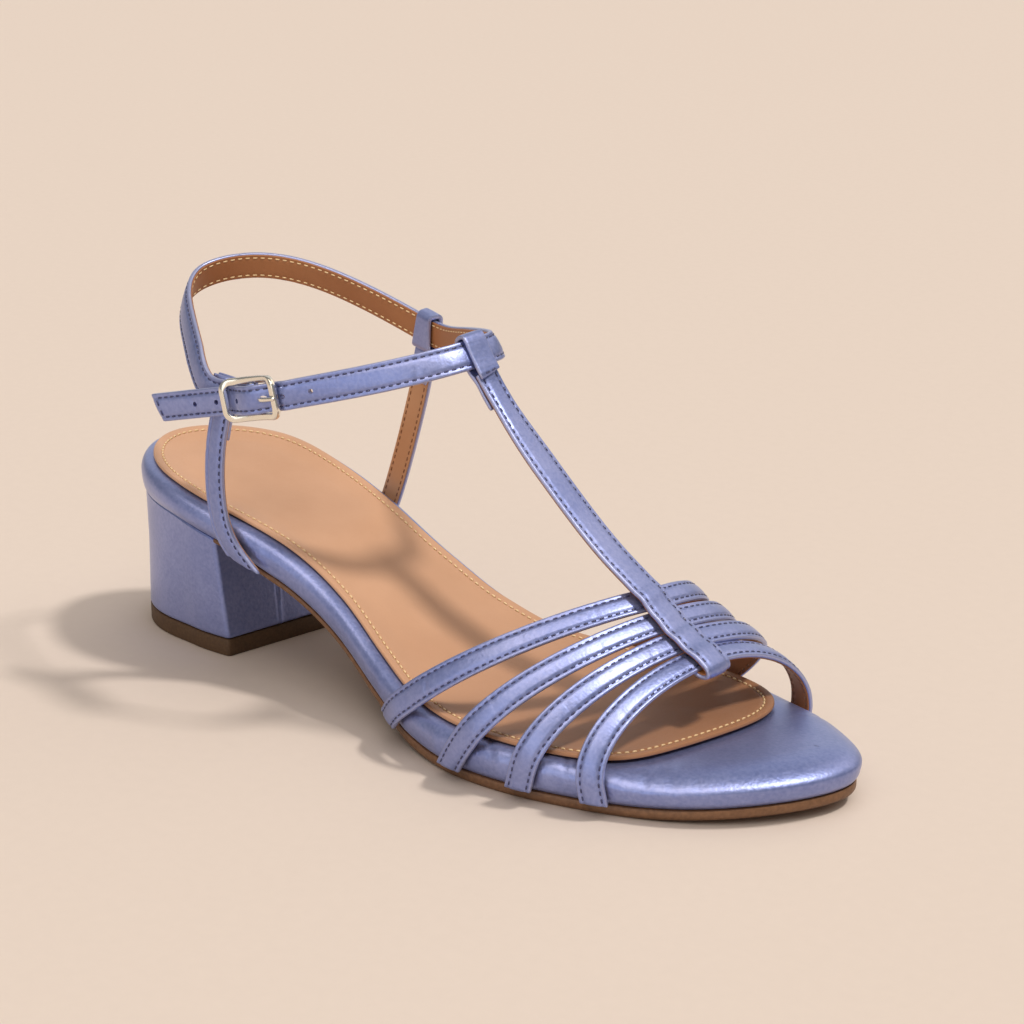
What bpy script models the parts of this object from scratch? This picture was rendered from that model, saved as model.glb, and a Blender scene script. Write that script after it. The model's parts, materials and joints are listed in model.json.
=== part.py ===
"""Low block-heel T-strap sandal for the right foot, built as a shoemaker puts it together.

A wrapped footbed carries the straps. An outsole closes it from heel breast to toe, and a covered block heel
with a rubber top piece lifts its back. Sizes are millimetres in the shoe's own layout: along from the heel's
back, across towards the inner side of the foot, height from the floor. to_metres() puts them in the scene.
"""

import math

import bmesh
import bpy
import numpy as np

# Driving dimensions
MM = 0.001
GAP = 0.3
SHOE_MIDDLE = np.array((128.7, -2.0, 0.0))
OUTSOLE_INSET = 1.2
RIM_THICK = 9.8
SOCK_THICK = 1.2
SOCK_GAP = 0.45
SOCK_INSET = 4.3
SOCK_EDGE_INSET = 0.6
SOCK_EDGE_SHARE = 0.03
SIDE_STEPS = 34
STRAP_THICK = 2.0
RETURN_THICK = 1.3
RETURN_LENGTH = 13.0
LOOP_WALL = 1.3
LOOP_SLACK = 0.5
LOOP_CORNER = 1.3
LOOP_STEPS = 2
LOOP_FORWARD = 0.5
SEWN_OVER = 0.3
SEWN_GAP = 0.7
EDGE_ROUND = 0.45
ANKLE_WIDTH = 8.6
T_WIDTH = 10.3
T_TOP_WIDTH = 10.0
QUARTER_WIDTH = 7.4
VAMP_FOOT_WIDTH = 8.0
VAMP_CROWN_WIDTH = 6.7
FOOT_TUCK = 0.5
FOOT_GAP = 0.42
HANGING_STEPS = 28
T_LOOP = np.array((133.4, -2.0, 107.0))
INNER_LOOP = np.array((88.0, 30.2, 98.6))
TOP_PIECE_THICK = 5.5
BREAST_TOP = 53.9
BREAST_BOTTOM = 56.4
BREAST_SLANT = 0.175
BREAST_CLEAR = 0.8

# The sole's widest line, a closed curve through: name, along, across
SOLE_OUTLINE = (
    ("heel back", 0.4, 3.0),
    ("heel outer", 30.0, -28.6),
    ("waist outer", 92.5, -26.3),
    ("ball outer", 156.0, -44.4),
    ("toe outer", 206.0, -38.4),
    ("toe outer front", 239.2, -20.8),
    ("toe tip", 257.0, 10.0),
    ("toe inner front", 243.0, 27.0),
    ("toe inner", 222.0, 37.7),
    ("ball inner", 171.0, 40.0),
    ("waist inner", 94.0, 28.6),
    ("heel inner", 29.0, 31.4),
)
TIP_ROW = 6
SOCK_OUTER_ROWS = (1, 2, 3)
SOCK_INNER_ROWS = (9, 10, 11)

# Underside of the footbed: station along, height above the floor
FOOTBED_PROFILE = (
    (0.0, 46.3),
    (28.0, 43.9),
    (52.0, 38.9),
    (75.0, 32.3),
    (100.0, 21.1),
    (122.0, 10.5),
    (142.0, 4.5),
    (160.0, 3.3),
    (204.0, 3.3),
    (258.0, 6.6),
)

# Outsole, skived thin under the waist: station along, thickness
OUTSOLE_THICK = (
    (50.0, 1.6),
    (100.0, 1.9),
    (148.0, 3.0),
    (258.0, 3.0),
)

# Side of the wrapped footbed from its lower edge to its top: inset from the widest line, share of its height
RIM_SIDE = (
    (1.7, 0.0),
    (0.7, 0.12),
    (0.1, 0.40),
    (0.0, 0.62),
    (0.7, 0.83),
    (2.0, 0.95),
    (4.2, 1.0),
)

# The rim's lower edge is drawn in over the heel block: station along, how far
RIM_TUCK = (
    (0.0, 0.0),
    (15.0, 0.0),
    (40.0, 2.9),
    (52.0, 2.9),
    (75.0, 0.0),
    (258.0, 0.0),
)

# Hollow pressed into the footbed by the foot: station along, depth
FOOTBED_DISH = (
    (0.0, 1.8),
    (45.0, 1.8),
    (100.0, 0.9),
    (160.0, 0.8),
    (256.0, 0.3),
)
DISH_INSET = 13.0

# Front edge of the insole sock, which leaves the toe bare: along, across
SOCK_FRONT = (
    (203.5, -33.4),
    (214.0, -19.5),
    (220.4, 2.0),
    (221.8, 20.6),
    (211.5, 33.2),
)
SOCK_FRONT_ROW = 2

# Heel block from its seat down: share of its height, inset from the widest line at its back and at its sides
HEEL_SIDE = (
    (0.0, 0.8, 4.9),
    (0.45, 1.0, 5.6),
    (1.0, 0.5, 6.6),
)
# Stations along between which its round back passes into its straight sides
HEEL_ROUND = (6.0, 34.0)

# Vamp straps, ankle to toe. Stations along: outer foot, crown, inner foot. Heights: crown, spring of the arch.
# Sweep in plan at the crown, along per across: outer half, inner half. Power of the inner half's arch.
VAMP_STRAPS = (
    (132.0, 195.3, 148.0, 47.0, 17.0, 0.43, 0.22, 2.15),
    (161.0, 201.0, 163.5, 42.4, 14.5, 0.30, 0.30, 2.08),
    (184.7, 207.0, 183.0, 38.3, 11.5, 0.255, 0.35, 2.08),
    (206.4, 213.6, 219.5, 34.9, 10.5, 0.247, 0.20, 1.90),
)
VAMP_STEPS = 22
ARCH_POWER = 1.9
RIDGE_ACROSS = 4.0

# Middle of the T strap, from the end folded under the last vamp strap to its loop: along, across, height
T_STRAP = (
    (211.5, 0.0, 33.9),
    (215.5, 0.0, 31.9),
    (217.9, 0.0, 32.5),
    (217.5, 0.0, 34.3),
    (214.2, 0.0, 36.4),
    (207.7, 0.0, 39.7),
    (201.5, 0.0, 43.6),
    (195.3, 0.0, 48.8),
    (182.5, -0.4, 57.6),
    (163.5, -1.1, 74.2),
    (147.5, -1.8, 90.4),
    (139.8, -2.0, 99.6),
)

# Buckle: its middle on the centre bar, the strap's run there, and the frame's own sizes
BUCKLE_MIDDLE = np.array((79.0, -34.6, 90.9))
BUCKLE_RUN = np.array((1.0, 0.04, 0.25))
FRAME_LENGTH = 21.5
FRAME_HEIGHT = 12.6
FRAME_CORNER = 3.4
FRAME_BAR = 1.7
FRAME_DEEP = 1.8
FRAME_BOW = 2.4
BAR_RADIUS = 0.8
HINGE_SLACK = 0.25
HINGE_WALL = 0.8
PRONG_WIDTH = 1.5
PRONG_THICK = 1.2
PRONG_STEPS = 14
SLOT_WIDTH = 2.3
HOLE_WIDTH = 1.5
HOLE_RUNS = (20.0, 11.6, -3.6, -14.4, -22.8)

# Ankle strap inside the buckle: run from the buckle's middle, lift outwards from its centre bar, rise, lean
STRAP_START = (
    (-0.6, -2.0, 0.0, 0.0),
    (-8.0, -2.9, 0.1, 0.0),
    (-14.5, -3.9, 1.1, 0.0),
    (-22.0, -4.1, 3.6, 8.0),
)
OUTER_SEAM = (-18.6, -4.05, 2.3)

# Ankle strap round the foot: name, along, across, height, lean of its upper edge towards the ankle in degrees
ANKLE_STRAP = (
    ("outer rise", 45.6, -25.7, 95.9, 24.0),
    ("outer back", 34.6, -17.6, 101.2, 22.0),
    ("back outer", 25.2, -9.0, 106.2, 19.0),
    ("back", 21.8, 1.5, 110.2, 15.0),
    ("back inner", 31.5, 15.0, 112.7, 14.0),
    ("inner rise", 53.0, 25.8, 108.8, 9.0),
    ("inner loop back", 81.0, 30.8, 100.0, 0.0),
    ("inner loop front", 95.0, 28.6, 98.0, 0.0),
    ("inner front", 114.0, 18.6, 102.4, 10.0),
    ("front inner turn", 131.8, 9.6, 106.8, 26.0),
    ("front inner end", 134.6, 4.0, 107.4, 33.0),
    ("front outer end", 132.2, -9.0, 106.4, 35.0),
    ("outer front", 114.0, -24.0, 100.6, 14.0),
    ("buckle front", 93.0, -33.0, 94.5, 0.0),
)

# Ankle strap through the buckle and its tail: run from the buckle's middle, lift outwards
STRAP_END = (
    (11.6, -0.1),
    (8.6, 0.05),
    (4.6, 1.9),
    (0.0, 3.15),
    (-4.6, 1.9),
    (-8.6, 0.05),
    (-11.4, 0.0),
    (-14.0, 0.3),
    (-21.0, 0.7),
    (-37.6, 2.1),
)
TAIL_SLANT = 1.7
ANKLE_STEPS = 116

# Prong from its hinge to its tip on the frame: run, lift
PRONG = (
    (0.6, 1.4),
    (3.2, 2.0),
    (5.6, 3.6),
    (8.6, 4.2),
    (11.8, 4.2),
)

# Quarter straps from the rim's lower edge to the ankle strap: along, across, height
QUARTER_OUTER = (
    (66.2, -29.0, 35.6),
    (62.4, -30.2, 40.6),
    (59.4, -30.9, 47.0),
    (57.8, -31.0, 55.0),
    (57.7, -31.0, 64.0),
    (58.5, -30.4, 74.0),
)
QUARTER_INNER = (
    (67.6, 32.0, 35.2),
    (69.6, 32.6, 40.5),
    (74.2, 32.2, 52.0),
    (81.4, 31.2, 72.0),
    (86.2, 30.8, 88.0),
)


def cubic(knots, values, at, closed=False):
    """Values at `at` on the smooth cubic curve through the knots; a closed curve repeats its first value last."""
    knots = np.asarray(knots, float)
    values = np.asarray(values, float).reshape(len(knots), -1)
    step = np.diff(knots)
    slope = np.diff(values, axis=0) / step[:, None]
    last = len(knots) - 1
    matrix = np.zeros((last + 1, last + 1))
    right = np.zeros_like(values)
    for i in range(1, last):
        matrix[i, i - 1 : i + 2] = step[i - 1], 2 * (step[i - 1] + step[i]), step[i]
        right[i] = 6 * (slope[i] - slope[i - 1])
    matrix[0, 0] = matrix[last, last] = 1
    if closed:
        matrix[0, [0, 1, last - 1]] = 2 * (step[-1] + step[0]), step[0], step[-1]
        right[0] = 6 * (slope[0] - slope[-1])
        matrix[last, 0] = -1
    bend = np.linalg.solve(matrix, right)
    at = np.asarray(at, float)
    i = np.clip(np.searchsorted(knots, at, side="right") - 1, 0, last - 1)
    h = step[i][:, None]
    a = (knots[i + 1] - at)[:, None]
    b = (at - knots[i])[:, None]
    ends = (a * values[i] + b * values[i + 1]) / h
    return ends + ((a**3 / h - a * h) * bend[i] + (b**3 / h - b * h) * bend[i + 1]) / 6


def monotone(table, at):
    """Values at `at` on a curve through the table's rows that never overshoots, so a level run stays level."""
    x, y = np.array(table, float).T
    step = np.diff(x)
    slope = np.diff(y) / step
    same_way = slope[:-1] * slope[1:] > 0
    before = np.where(same_way, slope[:-1], 1.0)
    after = np.where(same_way, slope[1:], 1.0)
    near = 2 * step[1:] + step[:-1]
    far = step[1:] + 2 * step[:-1]
    mean = (near + far) / (near / before + far / after)
    tangent = np.concatenate([slope[:1], np.where(same_way, mean, 0.0), slope[-1:]])
    at = np.asarray(at, float)
    i = np.clip(np.searchsorted(x, at, side="right") - 1, 0, len(step) - 1)
    h = step[i]
    t = (at - x[i]) / h
    start = y[i] * (1 + 2 * t) * (1 - t) ** 2 + tangent[i] * h * t * (1 - t) ** 2
    return start + y[i + 1] * t * t * (3 - 2 * t) + tangent[i + 1] * h * t * t * (t - 1)


def unit(vectors):
    vectors = np.asarray(vectors, float)
    return vectors / np.linalg.norm(vectors, axis=-1, keepdims=True)


def rim_bottom(along):
    """Height of the footbed's lower face."""
    return monotone(FOOTBED_PROFILE, along)


def rim_top(along):
    return rim_bottom(along) + RIM_THICK


def dish(along):
    return monotone(FOOTBED_DISH, along)


def closed_line(points, tip_row, inset, steps=SIDE_STEPS):
    """Outer and inner run of a closed plan curve, both from its first point to its tip row, taken in by inset.

    The inset is one size, or a function of the station along.
    """
    loop = np.array(points + points[:1], float)
    chord = np.sqrt(np.linalg.norm(np.diff(loop, axis=0), axis=1))
    knots = np.concatenate([[0.0], np.cumsum(chord)])
    little = 1e-4 * knots[-1]
    runs = []
    for start in (0.0, knots[-1]):
        at = start + (knots[tip_row] - start) * np.linspace(0.0, 1.0, steps + 1)
        ahead = cubic(knots, loop, (at + little) % knots[-1], closed=True)
        behind = cubic(knots, loop, (at - little) % knots[-1], closed=True)
        tangent = unit(ahead - behind)
        inward = np.stack([-tangent[:, 1], tangent[:, 0]], 1)
        line = cubic(knots, loop, at % knots[-1], closed=True)
        amount = inset(line[:, :1]) if callable(inset) else inset
        runs.append(line + amount * inward)
    return runs


def sole_line(inset, steps=SIDE_STEPS):
    """Outer and inner run of the sole's outline, taken in by inset."""
    return closed_line([row[1:] for row in SOLE_OUTLINE], TIP_ROW, inset, steps)


def rim_tuck(along):
    """How far the rim's lower edge is drawn in over the heel block."""
    return monotone(RIM_TUCK, along)


def rim_line(inset, share):
    """Outer and inner run of the footbed's side at a share of its height."""
    drawn = max(0.0, 1.0 - 2.0 * share) ** 2
    return sole_line(lambda along: inset + drawn * rim_tuck(along))


def edge_at(along, inner):
    """Across value of the sole's widest line at a station."""
    run = sole_line(0.0, 160)[1 if inner else 0]
    return float(np.interp(along, run[:, 0], run[:, 1]))


def part_line(inset, start, end, steps=30):
    """Outer and inner run of the sole's outline between two lines as slanted as the heel's breast.

    Each line is given by its station on the shoe's middle; None stands for the outline's own end.
    """
    runs = []
    for run in sole_line(inset, 400):
        places = np.arange(len(run))
        far = int(np.argmax(run[:, 0])) + 1
        slanted = run[:far, 0] - BREAST_SLANT * run[:far, 1]
        first = 0.0 if start is None else np.interp(start, run[:far, 0], places[:far])
        last = len(run) - 1.0 if end is None else np.interp(end, slanted, places[:far])
        place = np.linspace(first, last, steps + 1)
        if start is not None:
            place += (np.interp(start, slanted, places[:far]) - first) * np.linspace(1.0, 0.0, steps + 1) ** 6
        runs.append(np.column_stack([np.interp(place, places, run[:, k]) for k in (0, 1)]))
    return runs


def sock_line(inset):
    """Outer and inner run of the insole sock's outline: the sole's, taken in, with the sock's own front edge."""
    outer, inner = sole_line(SOCK_INSET, 160)
    stations = [row[1] for row in SOLE_OUTLINE]
    outer_side = [(stations[k], float(np.interp(stations[k], *outer.T))) for k in SOCK_OUTER_ROWS]
    inner_side = [(stations[k], float(np.interp(stations[k], *inner.T))) for k in SOCK_INNER_ROWS]
    loop = [tuple(outer[0])] + outer_side + list(SOCK_FRONT) + inner_side
    return closed_line(loop, len(outer_side) + 1 + SOCK_FRONT_ROW, inset)


def heel_line(share, back_inset, side_inset):
    """Outer and inner run of the heel block at a share of its height, from its back to its breast."""
    breast = BREAST_TOP + (BREAST_BOTTOM - BREAST_TOP) * share
    backs = part_line(back_inset, None, breast, 20)
    sides = part_line(side_inset, None, breast, 20)
    runs = []
    for back, side in zip(backs, sides):
        part = np.clip((back[:, :1] - HEEL_ROUND[0]) / (HEEL_ROUND[1] - HEEL_ROUND[0]), 0.0, 1.0)
        runs.append(back + (side - back) * part**2 * (3.0 - 2.0 * part))
    return runs


def rim_height(share):
    """Height of the footbed's side at a share of its thickness, as a function of the station."""
    return lambda along: rim_bottom(along) + RIM_THICK * share


def sock_height(dish_share, rise):
    """Height of the sock where it follows a share of the dish, raised from its underside."""
    return lambda along: rim_top(along) - dish_share * dish(along) + SOCK_GAP + rise


def outsole_top(along):
    return rim_bottom(along) - GAP


def outsole_low(along):
    return outsole_top(along) - monotone(OUTSOLE_THICK, along)


def heel_height(share):
    """Height of the heel block at a share of its own height down from the seat, as a function of the station."""
    floor = TOP_PIECE_THICK + GAP
    return lambda along: floor + (rim_bottom(along) - GAP - floor) * (1.0 - share)


def to_metres(points):
    return (np.asarray(points, float) - SHOE_MIDDLE) * MM


def material(name, colour, roughness, metallic):
    made = bpy.data.materials.new(name)
    made.use_nodes = True
    shader = made.node_tree.nodes["Principled BSDF"]
    shader.inputs["Base Color"].default_value = (*colour, 1.0)
    shader.inputs["Roughness"].default_value = roughness
    shader.inputs["Metallic"].default_value = metallic
    return made


def add_mesh(name, points, faces, finish, group):
    """A mesh object in metres with its normals turned outwards."""
    mesh = bpy.data.meshes.new(name)
    mesh.from_pydata(to_metres(points).tolist(), [], faces)
    shell = bmesh.new()
    shell.from_mesh(mesh)
    bmesh.ops.recalc_face_normals(shell, faces=shell.faces)
    shell.to_mesh(mesh)
    shell.free()
    mesh.materials.append(finish)
    mesh.shade_smooth()
    mesh.set_sharp_from_angle(angle=math.radians(40))
    made = bpy.data.objects.new(name, mesh)
    group.objects.link(made)
    return made


def add_modifier(made, kind, **settings):
    added = made.modifiers.new(kind.lower(), kind)
    for key, value in settings.items():
        setattr(added, key, value)


def add_bevel(made, width):
    angle = math.radians(55)
    add_modifier(made, "BEVEL", width=width * MM, segments=1, limit_method="ANGLE", angle_limit=angle)


def add_loft(name, levels, finish, group):
    """A closed solid through levels of outer run, inner run and height(along); bars between runs close its ends."""
    outer, inner, _ = levels[0]
    last = len(outer) - 1
    pointed_start = int(np.allclose(outer[0], inner[0], atol=1e-3))
    pointed_end = int(np.allclose(outer[-1], inner[-1], atol=1e-3))
    back = np.arange(last - pointed_end, pointed_start - 1, -1)
    inner_place = np.zeros(last + 1, int)
    inner_place[back] = last + 1 + np.arange(len(back))
    if pointed_end:
        inner_place[last] = last
    count = last + 1 + len(back)
    points = []
    faces = []
    for level, (outer, inner, height) in enumerate(levels):
        plan = np.concatenate([outer, inner[back]])
        points.append(np.column_stack([plan, height(plan[:, 0])]))
        if level:
            low = (level - 1) * count
            for i in range(count):
                j = (i + 1) % count
                faces.append((low + i, low + j, low + count + j, low + count + i))
    for base in (0, (len(levels) - 1) * count):
        for i in range(last):
            bar = (i, i + 1, inner_place[i + 1], inner_place[i])
            faces.append([int(base + k) for k in dict.fromkeys(bar)])
    return add_mesh(name, np.concatenate(points), faces, finish, group)


def add_band(name, rows, thick, finish, group, closed=False, edge=EDGE_ROUND):
    """A sheet through rows of points, given its thickness by Solidify and soft edges by Bevel."""
    count = len(rows[0])
    faces = []
    for low in range(0, count * (len(rows) - 1), count):
        for i in range(count if closed else count - 1):
            j = (i + 1) % count
            faces.append((low + i, low + j, low + count + j, low + count + i))
    made = add_mesh(name, np.concatenate(rows), faces, finish, group)
    add_modifier(made, "SOLIDIFY", thickness=thick * MM, offset=0.0, use_even_offset=True)
    if edge:
        add_bevel(made, edge)
    return made


def add_strap(name, path, ways, widths, thick, finish, group, closed=False, edge=EDGE_ROUND, slant=0.0):
    """A strap: a band along a path, as wide to each side of it as its width directions say."""
    half = ways * (np.broadcast_to(widths, len(path))[:, None] / 2)
    half[-1] += slant * unit(path[-1] - path[-2])
    return add_band(name, [path - half, path + half], thick, finish, group, closed, edge)


def add_rod(name, start, end, radius, finish, group, sides=12):
    """A round rod between two points."""
    axis = unit(end - start)
    first = unit(np.cross(axis, (0.3, 0.5, 0.8)))
    second = np.cross(axis, first)
    angle = np.linspace(0.0, 2 * math.pi, sides, endpoint=False)[:, None]
    rim = radius * (np.cos(angle) * first + np.sin(angle) * second)
    faces = [(i, (i + 1) % sides, sides + (i + 1) % sides, sides + i) for i in range(sides)]
    faces += [list(range(sides)), list(range(sides, 2 * sides))]
    return add_mesh(name, np.concatenate([start + rim, end + rim]), faces, finish, group)


def combine(target, others, operation="UNION"):
    """Joins the others to the target, or cuts it with them; they stay behind as hidden wires."""
    for other in others:
        other.hide_render = True
        other.display_type = "WIRE"
        add_modifier(target, "BOOLEAN", operation=operation, object=other, solver="EXACT")


def path_knots(points):
    """Knots for a smooth curve through points, so that close points hold it without overshoot."""
    return np.concatenate([[0.0], np.cumsum(np.sqrt(np.linalg.norm(np.diff(points, axis=0), axis=1)))])


def run_along(path):
    """Distance from the path's start at each of its points."""
    return np.concatenate([[0.0], np.cumsum(np.linalg.norm(np.diff(path, axis=0), axis=1))])


def smooth_path(points, steps):
    """Evenly spaced points on a smooth curve through the given ones."""
    points = np.asarray(points, float)
    knots = path_knots(points)
    fine_at = np.linspace(0.0, knots[-1], 60 * len(points))
    run = run_along(cubic(knots, points, fine_at))
    at = np.interp(np.linspace(0.0, run[-1], steps + 1), run, fine_at)
    return cubic(knots, points, at)


def rounded_loop(middle, first, second, half_first, half_second, radius, corner_steps=4):
    """Points round a rectangle with round corners, in the plane of two unit directions."""
    points = []
    for quarter in range(4):
        angle = math.pi / 2 * (quarter + np.linspace(0.0, 1.0, corner_steps + 1))
        signs = ((1, 1), (-1, 1), (-1, -1), (1, -1))[quarter]
        a = signs[0] * (half_first - radius) + radius * np.cos(angle)
        b = signs[1] * (half_second - radius) + radius * np.sin(angle)
        points.append(middle + a[:, None] * first + b[:, None] * second)
    return np.concatenate(points)


def eye_loop(radius, sides=16):
    """Points on a circle round the buckle's centre bar."""
    run, _, out = buckle_axes()
    angle = np.linspace(0.0, 2 * math.pi, sides, endpoint=False)[:, None]
    return BUCKLE_MIDDLE + radius * (np.cos(angle) * run + np.sin(angle) * out)


def buckle_axes():
    """Unit vectors at the buckle: along the strap to the toe, up its width, and outwards."""
    run = unit(BUCKLE_RUN)
    outward = np.array((0.0, -1.0, 0.0))
    outward = unit(outward - (outward @ run) * run)
    return run, np.cross(outward, run), outward


def at_buckle(rows):
    """Points from rows of run, lift and any rise beside the buckle."""
    run, up, outward = buckle_axes()
    points = [BUCKLE_MIDDLE + row[0] * run + row[1] * outward for row in rows]
    return np.array([point + sum(row[2:]) * up for point, row in zip(points, rows)])


def crown_slope(along):
    """Slope of the T strap above a vamp strap's crown."""
    x, _, z = np.array(T_STRAP[:3:-1]).T
    return float(np.diff(np.interp((along - 3.0, along + 3.0), x, z))[0]) / 6.0


def rim_way(along, inner):
    """Direction of the rim's lower edge at a station, towards the toe."""
    ends = [np.array((x, edge_at(x, inner), float(rim_bottom(x)))) for x in (along - 2.0, along + 2.0)]
    return unit(ends[1] - ends[0])


def vamp_route(outer, crown, inner, height, spring, outer_sweep, inner_sweep, inner_power):
    """A vamp strap's middle line, width directions and widths.

    Seen from the front the strap runs up the rim from each foot to the spring height, then arches as a
    superellipse to the crown. Each half lies in a plane through its foot, the crown and its sweep in plan.
    Its ends are cut along the rim's lower edge.
    """
    rows = []
    sides = []
    quarter = np.linspace(0.0, math.pi / 2, VAMP_STEPS // 2 + 1)[:-1]
    halves = ((outer, outer_sweep, ARCH_POWER, False), (inner, inner_sweep, inner_power, True))
    for along, sweep, power, is_inner in halves:
        way = 1.0 if is_inner else -1.0
        clear = way * (FOOT_GAP + STRAP_THICK / 2)
        low_across = edge_at(along, is_inner) + clear - way * FOOT_TUCK
        low = float(rim_bottom(along)) + GAP
        drop = (along - crown - sweep * (low_across - RIDGE_ACROSS)) / (low - height)
        foot_up = low + RIM_THICK * 0.6
        foot_across = edge_at(along + drop * (foot_up - low), is_inner) + clear
        arch_across = RIDGE_ACROSS + (foot_across - RIDGE_ACROSS) * np.cos(quarter) ** (2 / power)
        arch_up = spring + (height - spring) * np.sin(quarter) ** (2 / power)
        across = np.concatenate([[low_across, foot_across], arch_across])
        up = np.concatenate([[low, foot_up], arch_up])
        half = np.column_stack([crown + drop * (up - height) + sweep * (across - RIDGE_ACROSS), across, up])
        rows.append(half[::-1] if is_inner else half)
        rim = rim_way(along, is_inner)
        sides.append(unit((-way * rim[1], way * rim[0], 0.0)))
    path = smooth_path(np.concatenate([rows[0], [(crown, RIDGE_ACROSS, height)], rows[1]]), VAMP_STEPS + 6)
    rise = np.clip((path[:, 2:] - spring) / (height - spring), 0.0, 1.0)
    side = np.where(path[:, 1:2] < RIDGE_ACROSS, sides[0], sides[1])
    outward = side * np.sqrt(1.0 - rise**2) + rise * unit((-crown_slope(crown), 0.0, 1.0))
    ways = unit(np.cross(outward, np.gradient(path, axis=0)))
    widths = VAMP_FOOT_WIDTH + (VAMP_CROWN_WIDTH - VAMP_FOOT_WIDTH) * rise[:, 0]
    for end, along, is_inner in ((0, outer, False), (-1, inner, True)):
        slant = rim_way(along, is_inner) @ ways[end]
        ways[end] = rim_way(along, is_inner) * np.sign(slant)
        widths[end] /= abs(slant)
    return path, ways, widths


def ankle_route():
    """The ankle strap's middle line, width directions and outward directions, closest together at the buckle."""
    rows = np.array([row[1:] for row in ANKLE_STRAP])
    start = at_buckle([row[:3] for row in STRAP_START])
    end = at_buckle(STRAP_END)
    points = np.concatenate([start, rows[:, :3], end])
    lean = np.concatenate([[row[3] for row in STRAP_START], rows[:, 3], np.zeros(len(end))])
    knots = path_knots(points)
    at = np.linspace(0.0, knots[-1], ANKLE_STEPS + 1)
    path = cubic(knots, points, at)
    lean = np.radians(np.interp(at, knots, lean))
    tangent = unit(np.gradient(path, axis=0))
    level = unit(np.array((0.0, 0.0, 1.0)) - tangent * tangent[:, 2:])
    ways = level * np.cos(lean)[:, None] + np.cross(tangent, level) * np.sin(lean)[:, None]
    return path, ways, np.cross(ways, tangent)


def ankle_frames(ankle, place, width):
    """Middle, up and outward directions across a stretch of the ankle strap, centred nearest to a place."""
    run = run_along(ankle[0])
    fine_at = np.linspace(0.0, run[-1], 4000)
    fine = np.column_stack([np.interp(fine_at, run, column) for column in ankle[0].T])
    near = fine_at[np.argmin(np.linalg.norm(fine - place, axis=1))]
    at = near + width * np.linspace(-0.5, 0.5, LOOP_STEPS + 1)
    middle, up, out = [np.column_stack([np.interp(at, run, column) for column in table.T]) for table in ankle]
    return middle, unit(up), unit(out)


def add_hanging_strap(
    name, rows, across_way, place, widths, ankle, finish, group, helpers, extra=(), foot_way=None, looped=True
):
    """A strap hung from the ankle strap, in a loop round it or sewn on behind it, its end turned down inside."""
    frames = ankle_frames(ankle, place, widths[1])
    middle, up, out = [table[LOOP_STEPS // 2] for table in frames]
    half_up = ANKLE_WIDTH / 2 + LOOP_SLACK + LOOP_WALL / 2
    half_out = STRAP_THICK / 2 + LOOP_SLACK + LOOP_WALL / 2
    joined = list(extra)
    if looped:
        turned = RETURN_LENGTH
        ends = [middle - up * (half_up + 0.2) + out * LOOP_FORWARD]
        loop = [rounded_loop(*frame, half_up, half_out, LOOP_CORNER) for frame in zip(*frames)]
        joined.append(add_band(f"{name} loop", loop, LOOP_WALL, finish, helpers, True, 0.3))
    else:
        turned = RETURN_LENGTH + ANKLE_WIDTH
        behind = middle - out * (STRAP_THICK + SEWN_GAP)
        ends = [behind + up * rise for rise in (-ANKLE_WIDTH / 2, 0.0, ANKLE_WIDTH / 2 + SEWN_OVER)]
    run = np.cross(up, out)
    body = smooth_path(np.concatenate([rows, ends]), HANGING_STEPS)
    tangent = unit(np.gradient(body, axis=0))
    side = np.tile(np.asarray(across_way, float), (len(body), 1))
    side[-6:] += np.linspace(0.0, 1.0, 6)[:, None] * (run * np.sign(run @ side[0]) - side[-6:])
    side = unit(side - tangent * np.sum(side * tangent, axis=1)[:, None])
    inward = np.cross(side, tangent)
    inward *= -np.sign(np.sum(inward[-1] * out))
    if foot_way is not None:
        side[0] = foot_way / (foot_way @ side[0])
    width = np.linspace(*widths, len(body))
    made = add_strap(name, body, side, width, STRAP_THICK, finish, group)
    left = run_along(body[::-1])[1:]
    keep = slice(len(body) - 2 - int(np.searchsorted(left, turned)), -1)
    back = body[keep] + inward[keep] * (STRAP_THICK + RETURN_THICK - 0.4) / 2
    narrow = width[keep] - 0.6
    joined.append(add_strap(f"{name} return", back, side[keep], narrow, RETURN_THICK, finish, helpers, edge=0.3))
    combine(made, joined)
    return made


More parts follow.
